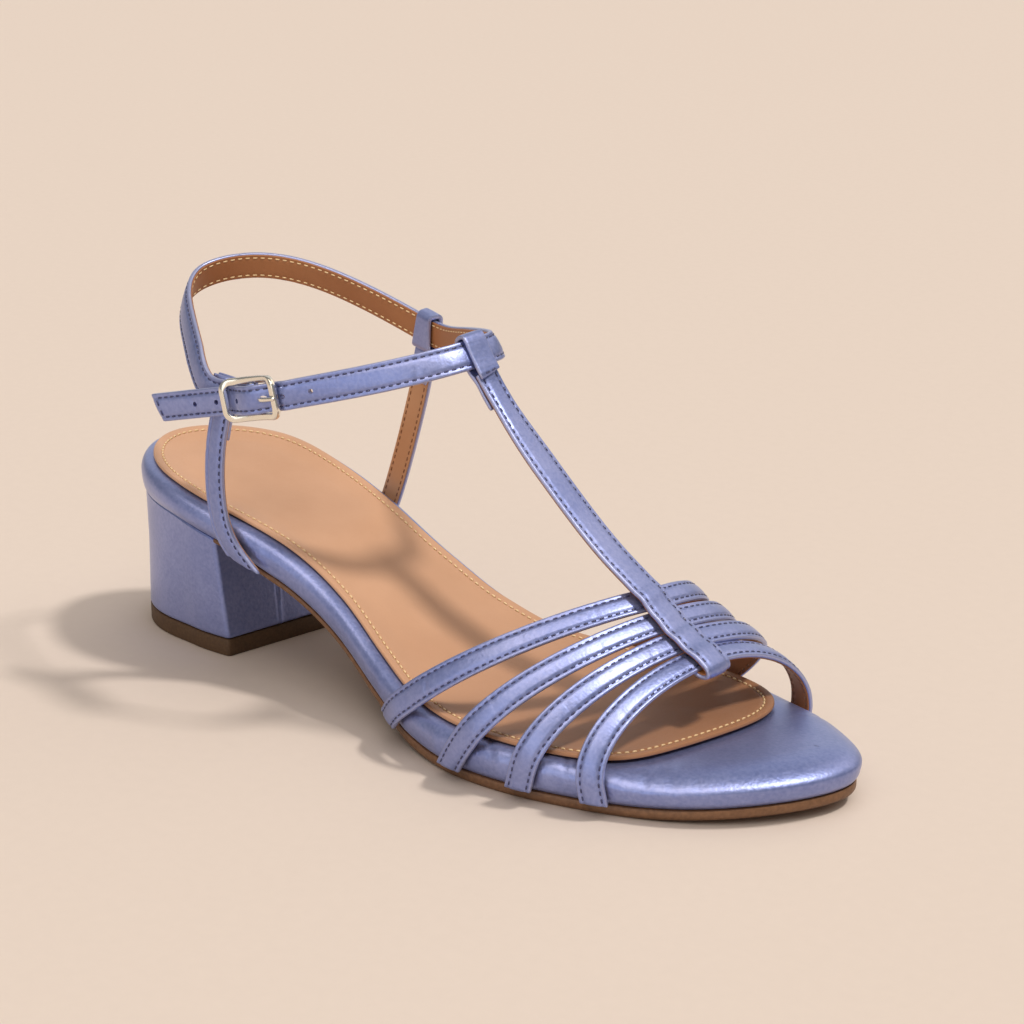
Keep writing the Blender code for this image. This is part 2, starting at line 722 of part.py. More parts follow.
def build_sole(group, leather, lining, resin, rubber):
    """Footbed, sock, outsole, heel block and top piece."""
    levels = [(*rim_line(inset, share), rim_height(share)) for inset, share in RIM_SIDE]
    levels.append((*sole_line(DISH_INSET), lambda along: rim_top(along) - dish(along)))
    add_loft("footbed", levels, leather, group)

    dished = DISH_INSET - SOCK_INSET
    levels = [
        (*sock_line(dished), sock_height(1.0, 0.0)),
        (*sock_line(0.0), sock_height(SOCK_EDGE_SHARE, 0.0)),
        (*sock_line(0.0), sock_height(SOCK_EDGE_SHARE, SOCK_THICK * 0.7)),
        (*sock_line(SOCK_EDGE_INSET), sock_height(SOCK_EDGE_SHARE, SOCK_THICK)),
        (*sock_line(dished), sock_height(1.0, SOCK_THICK)),
    ]
    add_loft("insole_sock", levels, lining, group)

    start = BREAST_TOP + BREAST_CLEAR
    rounding = 0.6
    side = part_line(lambda along: OUTSOLE_INSET + rim_tuck(along), start, None)
    under = part_line(lambda along: OUTSOLE_INSET + rounding + rim_tuck(along), start, None)
    levels = [
        (*under, outsole_low),
        (*side, lambda along: outsole_low(along) + rounding),
        (*side, outsole_top),
    ]
    add_loft("outsole", levels, resin, group)

    levels = [(*heel_line(*row), heel_height(row[0])) for row in reversed(HEEL_SIDE)]
    add_bevel(add_loft("heel_block", levels, leather, group), 0.6)

    runs = heel_line(*HEEL_SIDE[-1])
    levels = [(*runs, np.zeros_like), (*runs, lambda along: np.full_like(along, TOP_PIECE_THICK))]
    add_bevel(add_loft("heel_top_piece", levels, rubber, group), 0.5)


def build_straps(group, helpers, leather):
    """Upper, quarter straps and ankle strap."""
    ankle = ankle_route()
    vamp = []
    for number, stations in enumerate(VAMP_STRAPS, 1):
        vamp.append(add_strap(f"vamp strap {number}", *vamp_route(*stations), STRAP_THICK, leather, helpers))
    sizes = (T_LOOP, (T_WIDTH, T_TOP_WIDTH), ankle, leather, group, helpers)
    add_hanging_strap("upper", np.array(T_STRAP), (0, 1, 0), *sizes, vamp)
    for name, rows, place, is_inner in (
        ("quarter_strap_outer", QUARTER_OUTER, at_buckle([OUTER_SEAM])[0], False),
        ("quarter_strap_inner", QUARTER_INNER, INNER_LOOP, True),
    ):
        rows = np.array(rows)
        rim = rim_way(rows[0, 0], is_inner)
        sizes = (place, (QUARTER_WIDTH, QUARTER_WIDTH), ankle, leather, group, helpers)
        add_hanging_strap(name, rows, (1, 0, 0), *sizes, foot_way=rim, looped=is_inner)

    path, ways, outs = ankle
    strap = add_strap("ankle_strap", path, ways, ANKLE_WIDTH, STRAP_THICK, leather, group, slant=TAIL_SLANT)
    run, up, _ = buckle_axes()
    eye = eye_loop(BAR_RADIUS + HINGE_SLACK + HINGE_WALL / 2)
    eye_ways = np.tile(up, (len(eye), 1))
    eye = add_strap("strap eye", eye, eye_ways, ANKLE_WIDTH, HINGE_WALL, leather, helpers, True, 0.0)
    combine(strap, [eye])
    slot = at_buckle([(-2.6, 0.0), (3.2, 0.0)])
    cuts = [add_strap("prong slot", slot, np.tile(up, (2, 1)), SLOT_WIDTH, 4.0, leather, helpers, edge=0.0)]
    arm = smooth_path(at_buckle(PRONG), PRONG_STEPS)
    arm_ways = np.tile(up, (len(arm), 1))
    hole_width = SLOT_WIDTH - 0.2
    hole_thick = PRONG_THICK + 0.6
    cuts.append(add_strap("prong hole", arm, arm_ways, hole_width, hole_thick, leather, helpers, edge=0.0))
    tail = slice(None, int(np.flatnonzero(path[:, 1] > 0.0)[-1]), -1)
    tail_run = (path[tail] - BUCKLE_MIDDLE) @ run
    for hole in HOLE_RUNS:
        middle = np.array([np.interp(hole, tail_run, column) for column in path[tail].T])
        lift = unit([np.interp(hole, tail_run, column) for column in outs[tail].T])
        ends = [middle + way * lift * (STRAP_THICK / 2 + 0.5) for way in (-1.0, 1.0)]
        cuts.append(add_rod(f"hole at {hole}", *ends, HOLE_WIDTH / 2, leather, helpers))
    combine(strap, cuts, "DIFFERENCE")


def build_buckle(group, helpers, nickel):
    """Bowed frame with its centre bar, and the prong hinged on that bar."""
    run, up, out = buckle_axes()
    half_run = (FRAME_LENGTH - FRAME_BAR) / 2
    half_up = (FRAME_HEIGHT - FRAME_BAR) / 2
    loop = rounded_loop(BUCKLE_MIDDLE, run, up, half_run, half_up, FRAME_CORNER - FRAME_BAR / 2, 5)
    side_steps = np.linspace(0.0, 1.0, 7)[1:-1, None]
    corners = np.split(loop, 4)
    loop = np.concatenate(
        [
            np.concatenate([corner, corner[-1] + side_steps * (following[0] - corner[-1])])
            for corner, following in zip(corners, corners[1:] + corners[:1])
        ]
    )
    share = (loop - BUCKLE_MIDDLE) @ run / half_run
    loop = loop + (FRAME_BOW * share**2)[:, None] * out
    frame = add_strap(
        "buckle_frame", loop, np.tile(out, (len(loop), 1)), FRAME_DEEP, FRAME_BAR, nickel, group, True, 0.5
    )
    ends = [BUCKLE_MIDDLE + way * up * half_up for way in (-1.0, 1.0)]
    combine(frame, [add_rod("centre bar", *ends, BAR_RADIUS, nickel, helpers)])

    arm = smooth_path(at_buckle(PRONG), PRONG_STEPS)
    arm_ways = np.tile(up, (len(arm), 1))
    prong = add_strap("buckle_prong", arm, arm_ways, PRONG_WIDTH, PRONG_THICK, nickel, group, edge=0.3)
    hinge = eye_loop(BAR_RADIUS + HINGE_SLACK + HINGE_WALL / 2)
    hinge_ways = np.tile(up, (len(hinge), 1))
    hinge = add_strap("prong hinge", hinge, hinge_ways, PRONG_WIDTH, HINGE_WALL, nickel, helpers, True, 0.0)
    combine(prong, [hinge])


def main():
    for old in list(bpy.data.objects):
        bpy.data.objects.remove(old, do_unlink=True)
    sandal = bpy.data.collections.new("T-strap sandal")
    helpers = bpy.data.collections.new("Joined and cutting shapes")
    for group in (sandal, helpers):
        bpy.context.scene.collection.children.link(group)
    leather = material("metallic leather", (0.19, 0.20, 0.50), 0.38, 0.75)
    lining = material("tan leather", (0.56, 0.29, 0.16), 0.55, 0.0)
    resin = material("tan sole resin", (0.27, 0.13, 0.07), 0.5, 0.0)
    rubber = material("brown top piece rubber", (0.075, 0.04, 0.02), 0.6, 0.0)
    nickel = material("nickel", (0.62, 0.62, 0.58), 0.25, 1.0)
    build_sole(sandal, leather, lining, resin, rubber)
    build_straps(sandal, helpers, leather)
    build_buckle(sandal, helpers, nickel)


main()
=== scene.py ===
"""Looks of a low block-heel T-strap sandal for the right foot.

Each piece is a surface worked out from the shoe's own sizes: a section carried along a strap's route, or
levels of the sole's outline. Sizes are millimetres in the shoe's layout: along from the heel's back, across
towards the inner side of the foot, height from the floor.
"""

import json
import math

import bmesh
import bpy
import numpy as np
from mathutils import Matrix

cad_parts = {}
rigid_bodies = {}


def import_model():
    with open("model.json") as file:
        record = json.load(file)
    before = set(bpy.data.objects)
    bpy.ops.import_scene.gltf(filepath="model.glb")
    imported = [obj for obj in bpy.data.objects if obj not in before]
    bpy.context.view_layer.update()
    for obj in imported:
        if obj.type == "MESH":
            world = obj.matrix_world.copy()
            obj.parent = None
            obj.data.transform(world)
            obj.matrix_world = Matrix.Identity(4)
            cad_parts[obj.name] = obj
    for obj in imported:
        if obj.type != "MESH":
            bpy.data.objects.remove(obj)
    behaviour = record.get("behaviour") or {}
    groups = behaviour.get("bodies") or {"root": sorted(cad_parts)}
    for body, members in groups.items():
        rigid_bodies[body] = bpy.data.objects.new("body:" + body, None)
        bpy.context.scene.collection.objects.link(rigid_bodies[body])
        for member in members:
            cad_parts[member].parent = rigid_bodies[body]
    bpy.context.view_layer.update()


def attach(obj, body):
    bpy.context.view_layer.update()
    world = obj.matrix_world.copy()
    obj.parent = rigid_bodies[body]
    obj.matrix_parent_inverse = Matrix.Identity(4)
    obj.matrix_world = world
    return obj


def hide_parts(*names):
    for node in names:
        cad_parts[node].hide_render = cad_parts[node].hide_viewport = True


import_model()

# Sizes of the sole
MM = 0.001
SHOE_MIDDLE = np.array((128.7, -2.0, 0.0))
GAP = 0.3
RIM_THICK = 9.8
# Roll of the wrap at the toe: drop at its edge, how far in it reaches, stations between which it grows
TOE_ROLL = 3.6
TOE_ROLL_IN = 13.0
TOE_ROLL_FROM = (190.0, 225.0)
# Inset of the footbed's hollow from the widest line, then the sock's sizes and insets
DISH_INSET = 13.0
SOCK_THICK = 1.2
SOCK_GAP = 0.45
SOCK_INSET = 4.3
SOCK_DISH_INSET = 8.7
SOCK_EDGE_SHARE = 0.03
SOCK_STITCH_IN = 2.8
SOCK_STITCH_PITCH = 2.2
SOCK_STITCH_RADIUS = 0.28
OUTSOLE_INSET = 1.2
TOP_PIECE_THICK = 5.5
# The heel's front face: stations at its top and foot, slant along per across, gap to the sole, its seam
BREAST_TOP = 53.9
BREAST_BOTTOM = 56.4
BREAST_SLANT = 0.175
BREAST_CLEAR = 0.8
BREAST_SEAM = -4.0

# The sole's widest line: name, along, across
SOLE_OUTLINE = (
    ("heel back", 0.4, 3.0),
    ("heel outer", 30.0, -28.6),
    ("waist outer", 92.5, -26.3),
    ("ball outer", 156.0, -44.4),
    ("toe outer", 206.0, -38.4),
    ("toe outer front", 239.2, -20.8),
    ("toe tip", 257.0, 10.0),
    ("toe inner front", 243.0, 27.0),
    ("toe inner", 222.0, 37.7),
    ("ball inner", 171.0, 40.0),
    ("waist inner", 94.0, 28.6),
    ("heel inner", 29.0, 31.4),
)
TIP_ROW = 6
SOCK_OUTER_ROWS = (1, 2, 3)
SOCK_INNER_ROWS = (9, 10, 11)

# Underside of the footbed: station along, height
FOOTBED_PROFILE = (
    (0.0, 46.3), (28.0, 43.9), (52.0, 38.9), (75.0, 32.3), (100.0, 21.1),
    (122.0, 10.5), (142.0, 4.5), (160.0, 3.3), (204.0, 3.3), (258.0, 6.6),
)
# Outsole: station along, thickness
OUTSOLE_THICK = ((50.0, 1.6), (100.0, 1.9), (148.0, 3.0), (258.0, 3.0))
# Side of the wrapped footbed: inset from the widest line, share of its height
RIM_SIDE = ((1.7, 0.0), (0.7, 0.12), (0.1, 0.40), (0.0, 0.62), (0.7, 0.83), (2.0, 0.95), (4.2, 1.0))
# The rim's lower edge is drawn in over the heel block: station along, how far
RIM_TUCK = ((0.0, 0.0), (15.0, 0.0), (40.0, 2.9), (52.0, 2.9), (75.0, 0.0), (258.0, 0.0))
# Hollow pressed into the footbed by the foot: station along, depth
FOOTBED_DISH = ((0.0, 1.8), (45.0, 1.8), (100.0, 0.9), (160.0, 0.8), (256.0, 0.3))
# Front edge of the insole sock: along, across
SOCK_FRONT = ((203.5, -33.4), (214.0, -19.5), (220.4, 2.0), (221.8, 20.6), (211.5, 33.2))
SOCK_FRONT_ROW = 2
# Heel block from its seat down: share of its height, inset at its back and at its sides
HEEL_SIDE = ((0.0, 0.8, 4.9), (0.45, 1.0, 5.6), (1.0, 0.5, 6.6))
# Stations along between which its round back passes into its straight sides
HEEL_ROUND = (6.0, 34.0)

# Soft folds of the wrap on the footbed: along, across, turn in degrees, half length, half width, depth
RIM_FOLDS = (
    (150.0, -43.0, -35.0, 5.0, 0.9, 0.35),
    (173.5, -42.5, -50.0, 5.0, 0.8, 0.40),
    (196.0, -38.5, -60.0, 5.0, 0.8, 0.40),
    (217.0, -30.5, -62.0, 9.0, 1.2, 0.30),
    (222.0, -26.0, -48.0, 10.0, 1.4, 0.22),
    (229.0, -24.0, -40.0, 8.0, 1.3, 0.18),
    (232.0, 34.0, 60.0, 7.0, 1.2, 0.25),
    (72.0, -27.0, 10.0, 6.0, 1.2, 0.30),
)
# Soft dips and lines in the sock's leather: along, across, turn in degrees, half length, half width, depth
SOCK_FOLDS = (
    (28.0, 2.0, 0.0, 20.0, 12.0, 0.30),
    (96.0, 6.0, 78.0, 12.0, 2.6, 0.16),
    (118.0, -10.0, 65.0, 14.0, 2.2, 0.14),
    (140.0, 8.0, 80.0, 15.0, 2.4, 0.15),
    (168.0, -8.0, 0.0, 26.0, 18.0, 0.35),
    (190.0, -14.0, 35.0, 14.0, 3.0, 0.22),
    (198.0, 8.0, 30.0, 12.0, 2.6, 0.20),
)

# Strap leather: heights of its face's edge and of its back from the middle line, and its crown
STRAP_THICK = 2.0
STRAP_TOP = 0.72
STRAP_LOW = -0.5
STRAP_CROWN = 0.45
# Lining: height, crown, stitch trough, and how much shorter and narrower than the strap
LINING_HEIGHT = 1.0
LINING_CROWN = 0.12
LINING_GROOVE = 0.14
LINING_SHORT = 0.3
LINING_IN = 0.38
# Stitches: distance from the strap's edge, pitch, depth and half width of the trough, radius of the thread
STITCH_IN = 1.35
STITCH_PITCH = 2.3
STITCH_GROOVE = 0.32
GROOVE_HALF = 0.42
STITCH_RADIUS = 0.24
LINING_STITCH_RADIUS = 0.2
# Grid of a strap: station spacing, columns on its face and round each edge; grid of one stitch
STATION = 0.46
FACE_COLUMNS = 17
EDGE_COLUMNS = 6
BEAD_STATIONS = 7
BEAD_SIDES = 6
# Loops and turned ends round the ankle strap; the outer quarter strap is sewn on behind it
LOOP_WALL = 1.3
LOOP_SLACK = 0.5
LOOP_CORNER = 1.3
LOOP_FORWARD = 0.5
LOOP_LAP = 1.4
RETURN_LENGTH = 10.8
RETURN_DROP = 1.55
RETURN_IN = 0.3
RETURN_HALF = 0.6
SEWN_OVER = 0.3
SEWN_GAP = 0.7
ANKLE_WIDTH = 8.6
# T strap: width, width of its turn, length over which it narrows to that
T_WIDTH = 10.3
T_TURN_WIDTH = 7.4
T_TAPER = 32.0
QUARTER_WIDTH = 7.4
VAMP_FOOT_WIDTH = 8.0
VAMP_CROWN_WIDTH = 7.1
# Feet of the vamp straps: how far they tuck under the rim, and stand off it
FOOT_TUCK = 0.5
FOOT_GAP = 0.42
ARCH_POWER = 1.9
RIDGE_ACROSS = 4.0
ARCH_ROWS = 11
T_LOOP = np.array((133.4, -2.0, 107.0))
INNER_LOOP = np.array((88.0, 30.2, 98.6))
LOOP_HALF_UP = ANKLE_WIDTH / 2 + LOOP_SLACK + LOOP_WALL / 2
LOOP_HALF_OUT = STRAP_THICK / 2 + LOOP_SLACK + LOOP_WALL / 2
# Faces of straps: height of the edge, crown, stitch trough
STRAP_FACE = (STRAP_TOP, STRAP_CROWN, STITCH_GROOVE)
LINING_FACE = (LINING_HEIGHT - LINING_CROWN, LINING_CROWN, LINING_GROOVE)
TURN_FACE = (LOOP_WALL / 2 - 0.05, 0.1, 0.0)
RETURN_FACE = (RETURN_HALF, 0.05, 0.1)

# Vamp straps: outer foot, crown and inner foot along; crown and spring heights; outer and inner sweep in
# plan; power of the inner half's arch
VAMP_STRAPS = (
    (132.0, 195.3, 148.0, 47.0, 17.0, 0.43, 0.22, 2.15),
    (161.0, 201.0, 163.5, 42.4, 14.5, 0.30, 0.30, 2.08),
    (184.7, 207.0, 183.0, 38.3, 11.5, 0.255, 0.35, 2.08),
    (206.4, 213.6, 219.5, 34.9, 10.5, 0.247, 0.20, 1.90),
)
# Middle of the T strap from its folded end to its loop: along, across, height
T_STRAP = (
    (211.5, 0.0, 33.9), (215.5, 0.0, 31.9), (217.9, 0.0, 32.5), (217.5, 0.0, 34.3), (214.2, 0.0, 36.4),
    (207.7, 0.0, 39.7), (201.5, 0.0, 43.6), (195.3, 0.0, 48.8), (182.5, -0.4, 57.6), (163.5, -1.1, 74.2),
    (147.5, -1.8, 90.4), (139.8, -2.0, 99.6),
)
# Ankle strap inside the buckle: run from the buckle's middle, lift outwards, rise, lean
STRAP_START = (
    (-0.6, -2.0, 0.0, 0.0), (-8.0, -2.9, 0.1, 0.0), (-14.5, -3.9, 1.1, 0.0), (-22.0, -4.1, 3.6, 8.0),
)
OUTER_SEAM = (-18.6, -4.05, 2.3)
# Ankle strap round the foot: name, along, across, height, lean of its upper edge in degrees
ANKLE_STRAP = (
    ("outer rise", 45.6, -25.7, 95.9, 24.0),
    ("outer back", 34.6, -17.6, 101.2, 22.0),
    ("back outer", 25.2, -9.0, 106.2, 19.0),
    ("back", 21.8, 1.5, 110.2, 15.0),
    ("back inner", 31.5, 15.0, 112.7, 14.0),
    ("inner rise", 53.0, 25.8, 108.8, 9.0),
    ("inner loop back", 81.0, 30.8, 100.0, 0.0),
    ("inner loop front", 95.0, 28.6, 98.0, 0.0),
    ("inner front", 114.0, 18.6, 102.4, 10.0),
    ("front inner turn", 131.8, 9.6, 106.8, 26.0),
    ("front inner end", 134.6, 4.0, 107.4, 33.0),
    ("front outer end", 132.2, -9.0, 106.4, 35.0),
    ("outer front", 114.0, -24.0, 100.6, 14.0),
    ("buckle front", 93.0, -33.0, 94.5, 0.0),
)
# Ankle strap through the buckle and its tail: run, lift
STRAP_END = (
    (11.6, -0.1), (8.6, 0.05), (4.6, 1.9), (0.0, 3.15), (-4.6, 1.9),
    (-8.6, 0.05), (-11.4, 0.0), (-14.0, 0.3), (-21.0, 0.7), (-38.0, 2.1),
)
TAIL_SLANT = 1.2
# Holes: run from the buckle's middle; half length, half width and reach in grid rows
HOLE_RUNS = (20.0, 11.6, -3.6, -14.4, -22.8)
HOLE_SIZE = (0.75, 0.75, 2)
PRONG_HOLE_RUN = 5.2
PRONG_HOLE_SIZE = (1.5, 1.05, 4)
# Half the gap in the strap's eye that leaves room for the prong
EYE_GAP_HALF = 1.15
# Quarter straps from the rim's lower edge up: along, across, height
QUARTER_OUTER = (
    (66.2, -29.0, 35.6), (62.4, -30.2, 40.6), (59.4, -30.9, 47.0),
    (57.8, -31.0, 55.0), (57.7, -31.0, 64.0), (58.5, -30.4, 74.0),
)
QUARTER_INNER = (
    (67.6, 32.0, 35.2), (69.6, 32.6, 40.5), (74.2, 32.2, 52.0), (81.4, 31.2, 72.0), (86.2, 30.8, 88.0),
)

# Bending lines across each strap: share of its run, slant along per across, half width, depth
STRAP_FOLDS = {
    "vamp_strap_1": (
        (0.13, 0.30, 0.7, 0.10), (0.30, -0.20, 0.9, 0.08), (0.42, 0.15, 0.8, 0.08), (0.74, 0.10, 0.8, 0.10),
    ),
    "vamp_strap_2": ((0.16, 0.25, 0.8, 0.10), (0.36, -0.15, 0.9, 0.08), (0.78, 0.12, 0.8, 0.10)),
    "vamp_strap_3": ((0.20, 0.20, 0.8, 0.10), (0.40, 0.10, 0.9, 0.08), (0.80, 0.15, 0.8, 0.10)),
    "vamp_strap_4": ((0.24, 0.20, 0.8, 0.10), (0.44, -0.10, 0.9, 0.08), (0.80, 0.12, 0.8, 0.10)),
    "ankle_strap": (
        (0.27, 0.20, 0.9, 0.12), (0.31, -0.25, 0.8, 0.10), (0.66, 0.20, 0.8, 0.12), (0.72, -0.20, 0.9, 0.10),
        (0.955, 0.30, 0.9, 0.12),
    ),
    "quarter_strap_outer": ((0.28, 0.20, 0.8, 0.12), (0.60, -0.20, 0.9, 0.10)),
    "quarter_strap_inner": ((0.20, 0.20, 0.8, 0.10),),
}

# Sizes of the buckle
BUCKLE_MIDDLE = np.array((79.0, -34.6, 90.9))
BUCKLE_RUN = np.array((1.0, 0.04, 0.25))
FRAME_LENGTH = 21.5
FRAME_HEIGHT = 12.6
FRAME_CORNER = 3.4
# Breadth of the frame's bars in the solids, breadth shown, depth, bow of its ends outwards
FRAME_BAR = 1.7
FRAME_FACE = 2.1
FRAME_DEEP = 1.8
FRAME_BOW = 2.4
BAR_RADIUS = 0.8
HINGE_SLACK = 0.25
HINGE_WALL = 0.8
HINGE_RADIUS = BAR_RADIUS + HINGE_SLACK + HINGE_WALL / 2
# Prong: width, thickness, then its middle line by run and lift
PRONG_WIDTH = 1.5
PRONG_THICK = 1.2
PRONG = ((0.6, 1.4), (3.2, 2.0), (5.6, 3.6), (8.6, 4.2), (11.8, 4.2))


# Curves
def unit(vectors):
    """Vectors divided by their own lengths."""
    vectors = np.asarray(vectors, float)
    return vectors / np.linalg.norm(vectors, axis=-1, keepdims=True)


def spline(knots, values, at, closed=False):
    """Natural cubic curve through values at the knots, read at `at`.

    A closed curve has its first value repeated last.
    """
    knots = np.asarray(knots, float)
    values = np.asarray(values, float).reshape(len(knots), -1)
    step = np.diff(knots)
    slope = np.diff(values, axis=0) / step[:, None]
    last = len(knots) - 1
    matrix = np.zeros((last + 1, last + 1))
    inside = np.arange(1, last)
    matrix[inside, inside - 1] = step[:-1]
    matrix[inside, inside] = 2 * (step[:-1] + step[1:])
    matrix[inside, inside + 1] = step[1:]
    right = np.zeros_like(values)
    right[1:last] = 6 * np.diff(slope, axis=0)
    matrix[0, 0] = matrix[last, last] = 1
    if closed:
        matrix[0, [0, 1, last - 1]] = 2 * (step[-1] + step[0]), step[0], step[-1]
        right[0] = 6 * (slope[0] - slope[-1])
        matrix[last, 0] = -1
    bend = np.linalg.solve(matrix, right)
    at = np.asarray(at, float)
    i = np.clip(np.searchsorted(knots, at, side="right") - 1, 0, last - 1)
    h = step[i][:, None]
    a = (knots[i + 1] - at)[:, None]
    b = (at - knots[i])[:, None]
    ends = (a * values[i] + b * values[i + 1]) / h
    return ends + ((a**3 / h - a * h) * bend[i] + (b**3 / h - b * h) * bend[i + 1]) / 6


def level_curve(table, at):
    """Curve through the table's rows that never overshoots: cubic pieces with harmonic-mean slopes."""
    x, y = np.array(table, float).T
    step = np.diff(x)
    slope = np.diff(y) / step
    same_way = slope[:-1] * slope[1:] > 0
    before = np.where(same_way, slope[:-1], 1.0)
    after = np.where(same_way, slope[1:], 1.0)
    near = 2 * step[1:] + step[:-1]
    far = step[1:] + 2 * step[:-1]
    mean = (near + far) / (near / before + far / after)
    tangent = np.concatenate([slope[:1], np.where(same_way, mean, 0.0), slope[-1:]])
    at = np.asarray(at, float)
    i = np.clip(np.searchsorted(x, at, side="right") - 1, 0, len(step) - 1)
    h = step[i]
    t = (at - x[i]) / h
    start = y[i] * (1 + 2 * t) * (1 - t) ** 2 + tangent[i] * h * t * (1 - t) ** 2
    return start + y[i + 1] * t * t * (3 - 2 * t) + tangent[i + 1] * h * t * t * (t - 1)


def read_rows(at, run, table):
    """Rows of a table known at some runs, read at others: each column passes straight from row to row."""
    return np.stack([np.interp(at, run, column) for column in table.T], -1)


def run_along(path):
    """Distance from the path's start at each point: the running sum of its chords."""
    return np.concatenate([[0.0], np.cumsum(np.linalg.norm(np.diff(path, axis=0), axis=1))])


def path_knots(points):
    """Knots a square root of the chord apart, so close points hold the curve without overshoot."""
    return np.concatenate([[0.0], np.cumsum(np.sqrt(np.linalg.norm(np.diff(points, axis=0), axis=1)))])


def fine_path(points, spacing=0.2):
    """Evenly spaced points on the smooth curve through the given ones, with their knot values."""
    points = np.asarray(points, float)
    knots = path_knots(points)
    dense = np.linspace(0.0, knots[-1], 200 * len(points))
    run = run_along(spline(knots, points, dense))
    at = np.interp(np.linspace(0.0, run[-1], int(run[-1] / spacing) + 2), run, dense)
    return spline(knots, points, at), at


def smooth_step(low, high, at):
    """0 below low, 1 above high, and 3t^2 - 2t^3 between."""
    t = np.clip((at - low) / (high - low), 0.0, 1.0)
    return t * t * (3 - 2 * t)


def hollow(folds, along, across):
    """Depth of soft folds at places on a sheet: depth times a Gaussian along each fold and across it."""
    depth = np.zeros_like(along)
    for x, y, turn, half_length, half_width, deep in folds:
        c, s = math.cos(math.radians(turn)), math.sin(math.radians(turn))
        p = (along - x) * c + (across - y) * s
        q = (across - y) * c - (along - x) * s
        depth = depth + deep * np.exp(-((p / half_length) ** 2) - (q / half_width) ** 2)
    return depth


# The sole's lines
def rim_bottom(along):
    """Height of the footbed's underside."""
    return level_curve(FOOTBED_PROFILE, along)


def rim_top(along):
    """Height of the footbed's rim: its underside and its thickness."""
    return rim_bottom(along) + RIM_THICK


def dish(along):
    """Depth of the hollow that the foot presses into the footbed."""
    return level_curve(FOOTBED_DISH, along)


def rim_tuck(along):
    """How far the rim's lower edge is drawn in over the heel block."""
    return level_curve(RIM_TUCK, along)


def closed_line(points, tip_row, inset, steps):
    """Outer and inner run of a closed smooth plan curve, from its first point to its tip.

    Both are moved in along the curve's normal. The inset is one size, or a function of the station along.
    """
    loop = np.array(list(points) + [points[0]], float)
    knots = path_knots(loop)
    little = 1e-4 * knots[-1]
    runs = []
    for start in (0.0, knots[-1]):
        at = start + (knots[tip_row] - start) * np.linspace(0.0, 1.0, steps + 1)
        ahead = spline(knots, loop, (at + little) % knots[-1], closed=True)
        behind = spline(knots, loop, (at - little) % knots[-1], closed=True)
        tangent = unit(ahead - behind)
        inward = np.stack([-tangent[:, 1], tangent[:, 0]], 1)
        line = spline(knots, loop, at % knots[-1], closed=True)
        amount = inset(line[:, :1]) if callable(inset) else inset
        runs.append(line + amount * inward)
    return runs


def sole_line(inset, steps):
    """Outer and inner run of the sole's widest line, moved in."""
    return closed_line([row[1:] for row in SOLE_OUTLINE], TIP_ROW, inset, steps)


def sock_line(inset, steps):
    """The sock's outline: the sole's line taken in at the sides, with the sock's own front edge."""
    outer, inner = sole_line(SOCK_INSET, 160)
    stations = [row[1] for row in SOLE_OUTLINE]
    outer_side = [(stations[k], float(np.interp(stations[k], *outer.T))) for k in SOCK_OUTER_ROWS]
    inner_side = [(stations[k], float(np.interp(stations[k], *inner.T))) for k in SOCK_INNER_ROWS]
    loop = [tuple(outer[0])] + outer_side + list(SOCK_FRONT) + inner_side
    return closed_line(loop, len(outer_side) + 1 + SOCK_FRONT_ROW, inset, steps)


def part_line(inset, start, end, steps):
    """Outer and inner run of the sole's line between two lines as slanted as the heel's breast.

    Each line is given by its station on the shoe's middle; None stands for the outline's own end. After a
    slanted start the stations straighten with the sixth power of the share left.
    """
    runs = []
    for run in sole_line(inset, 500):
        places = np.arange(len(run))
        far = int(np.argmax(run[:, 0])) + 1
        slanted = run[:far, 0] - BREAST_SLANT * run[:far, 1]
        first = 0.0 if start is None else np.interp(start, run[:far, 0], places[:far])
        last = len(run) - 1.0 if end is None else np.interp(end, slanted, places[:far])
        place = np.linspace(first, last, steps + 1)
        if start is not None:
            lead = np.interp(start, slanted, places[:far]) - first
            place += lead * np.linspace(1.0, 0.0, steps + 1) ** 6
        runs.append(read_rows(place, places, run))
    return runs


def edge_at(along, inner):
    """How far across the sole's widest line lies at a station."""
    run = sole_line(0.0, 160)[1 if inner else 0]
    return float(np.interp(along, run[:, 0], run[:, 1]))


def rim_way(along, inner):
    """Direction of the rim's lower edge at a station, towards the toe."""
    ends = [np.array((x, edge_at(x, inner), float(rim_bottom(x)))) for x in (along - 2.0, along + 2.0)]
    return unit(ends[1] - ends[0])


# Meshes
def grid_quads(rows, columns, wrap_rows=False, wrap_columns=True):
    """Quads between neighbours of a rows by columns grid, as rows of four numbers."""
    i = np.arange(rows if wrap_rows else rows - 1)[:, None]
    j = np.arange(columns if wrap_columns else columns - 1)[None, :]
    below, right = (i + 1) % rows, (j + 1) % columns
    corners = (i * columns + j, i * columns + right, below * columns + right, below * columns + j)
    return np.stack(np.broadcast_arrays(*corners), -1).reshape(-1, 4)


def end_faces(rows, columns):
    """The two faces that shut an open tube of rows by columns points."""
    last = (rows - 1) * columns
    return [list(range(columns)), list(range(last, last + columns))]


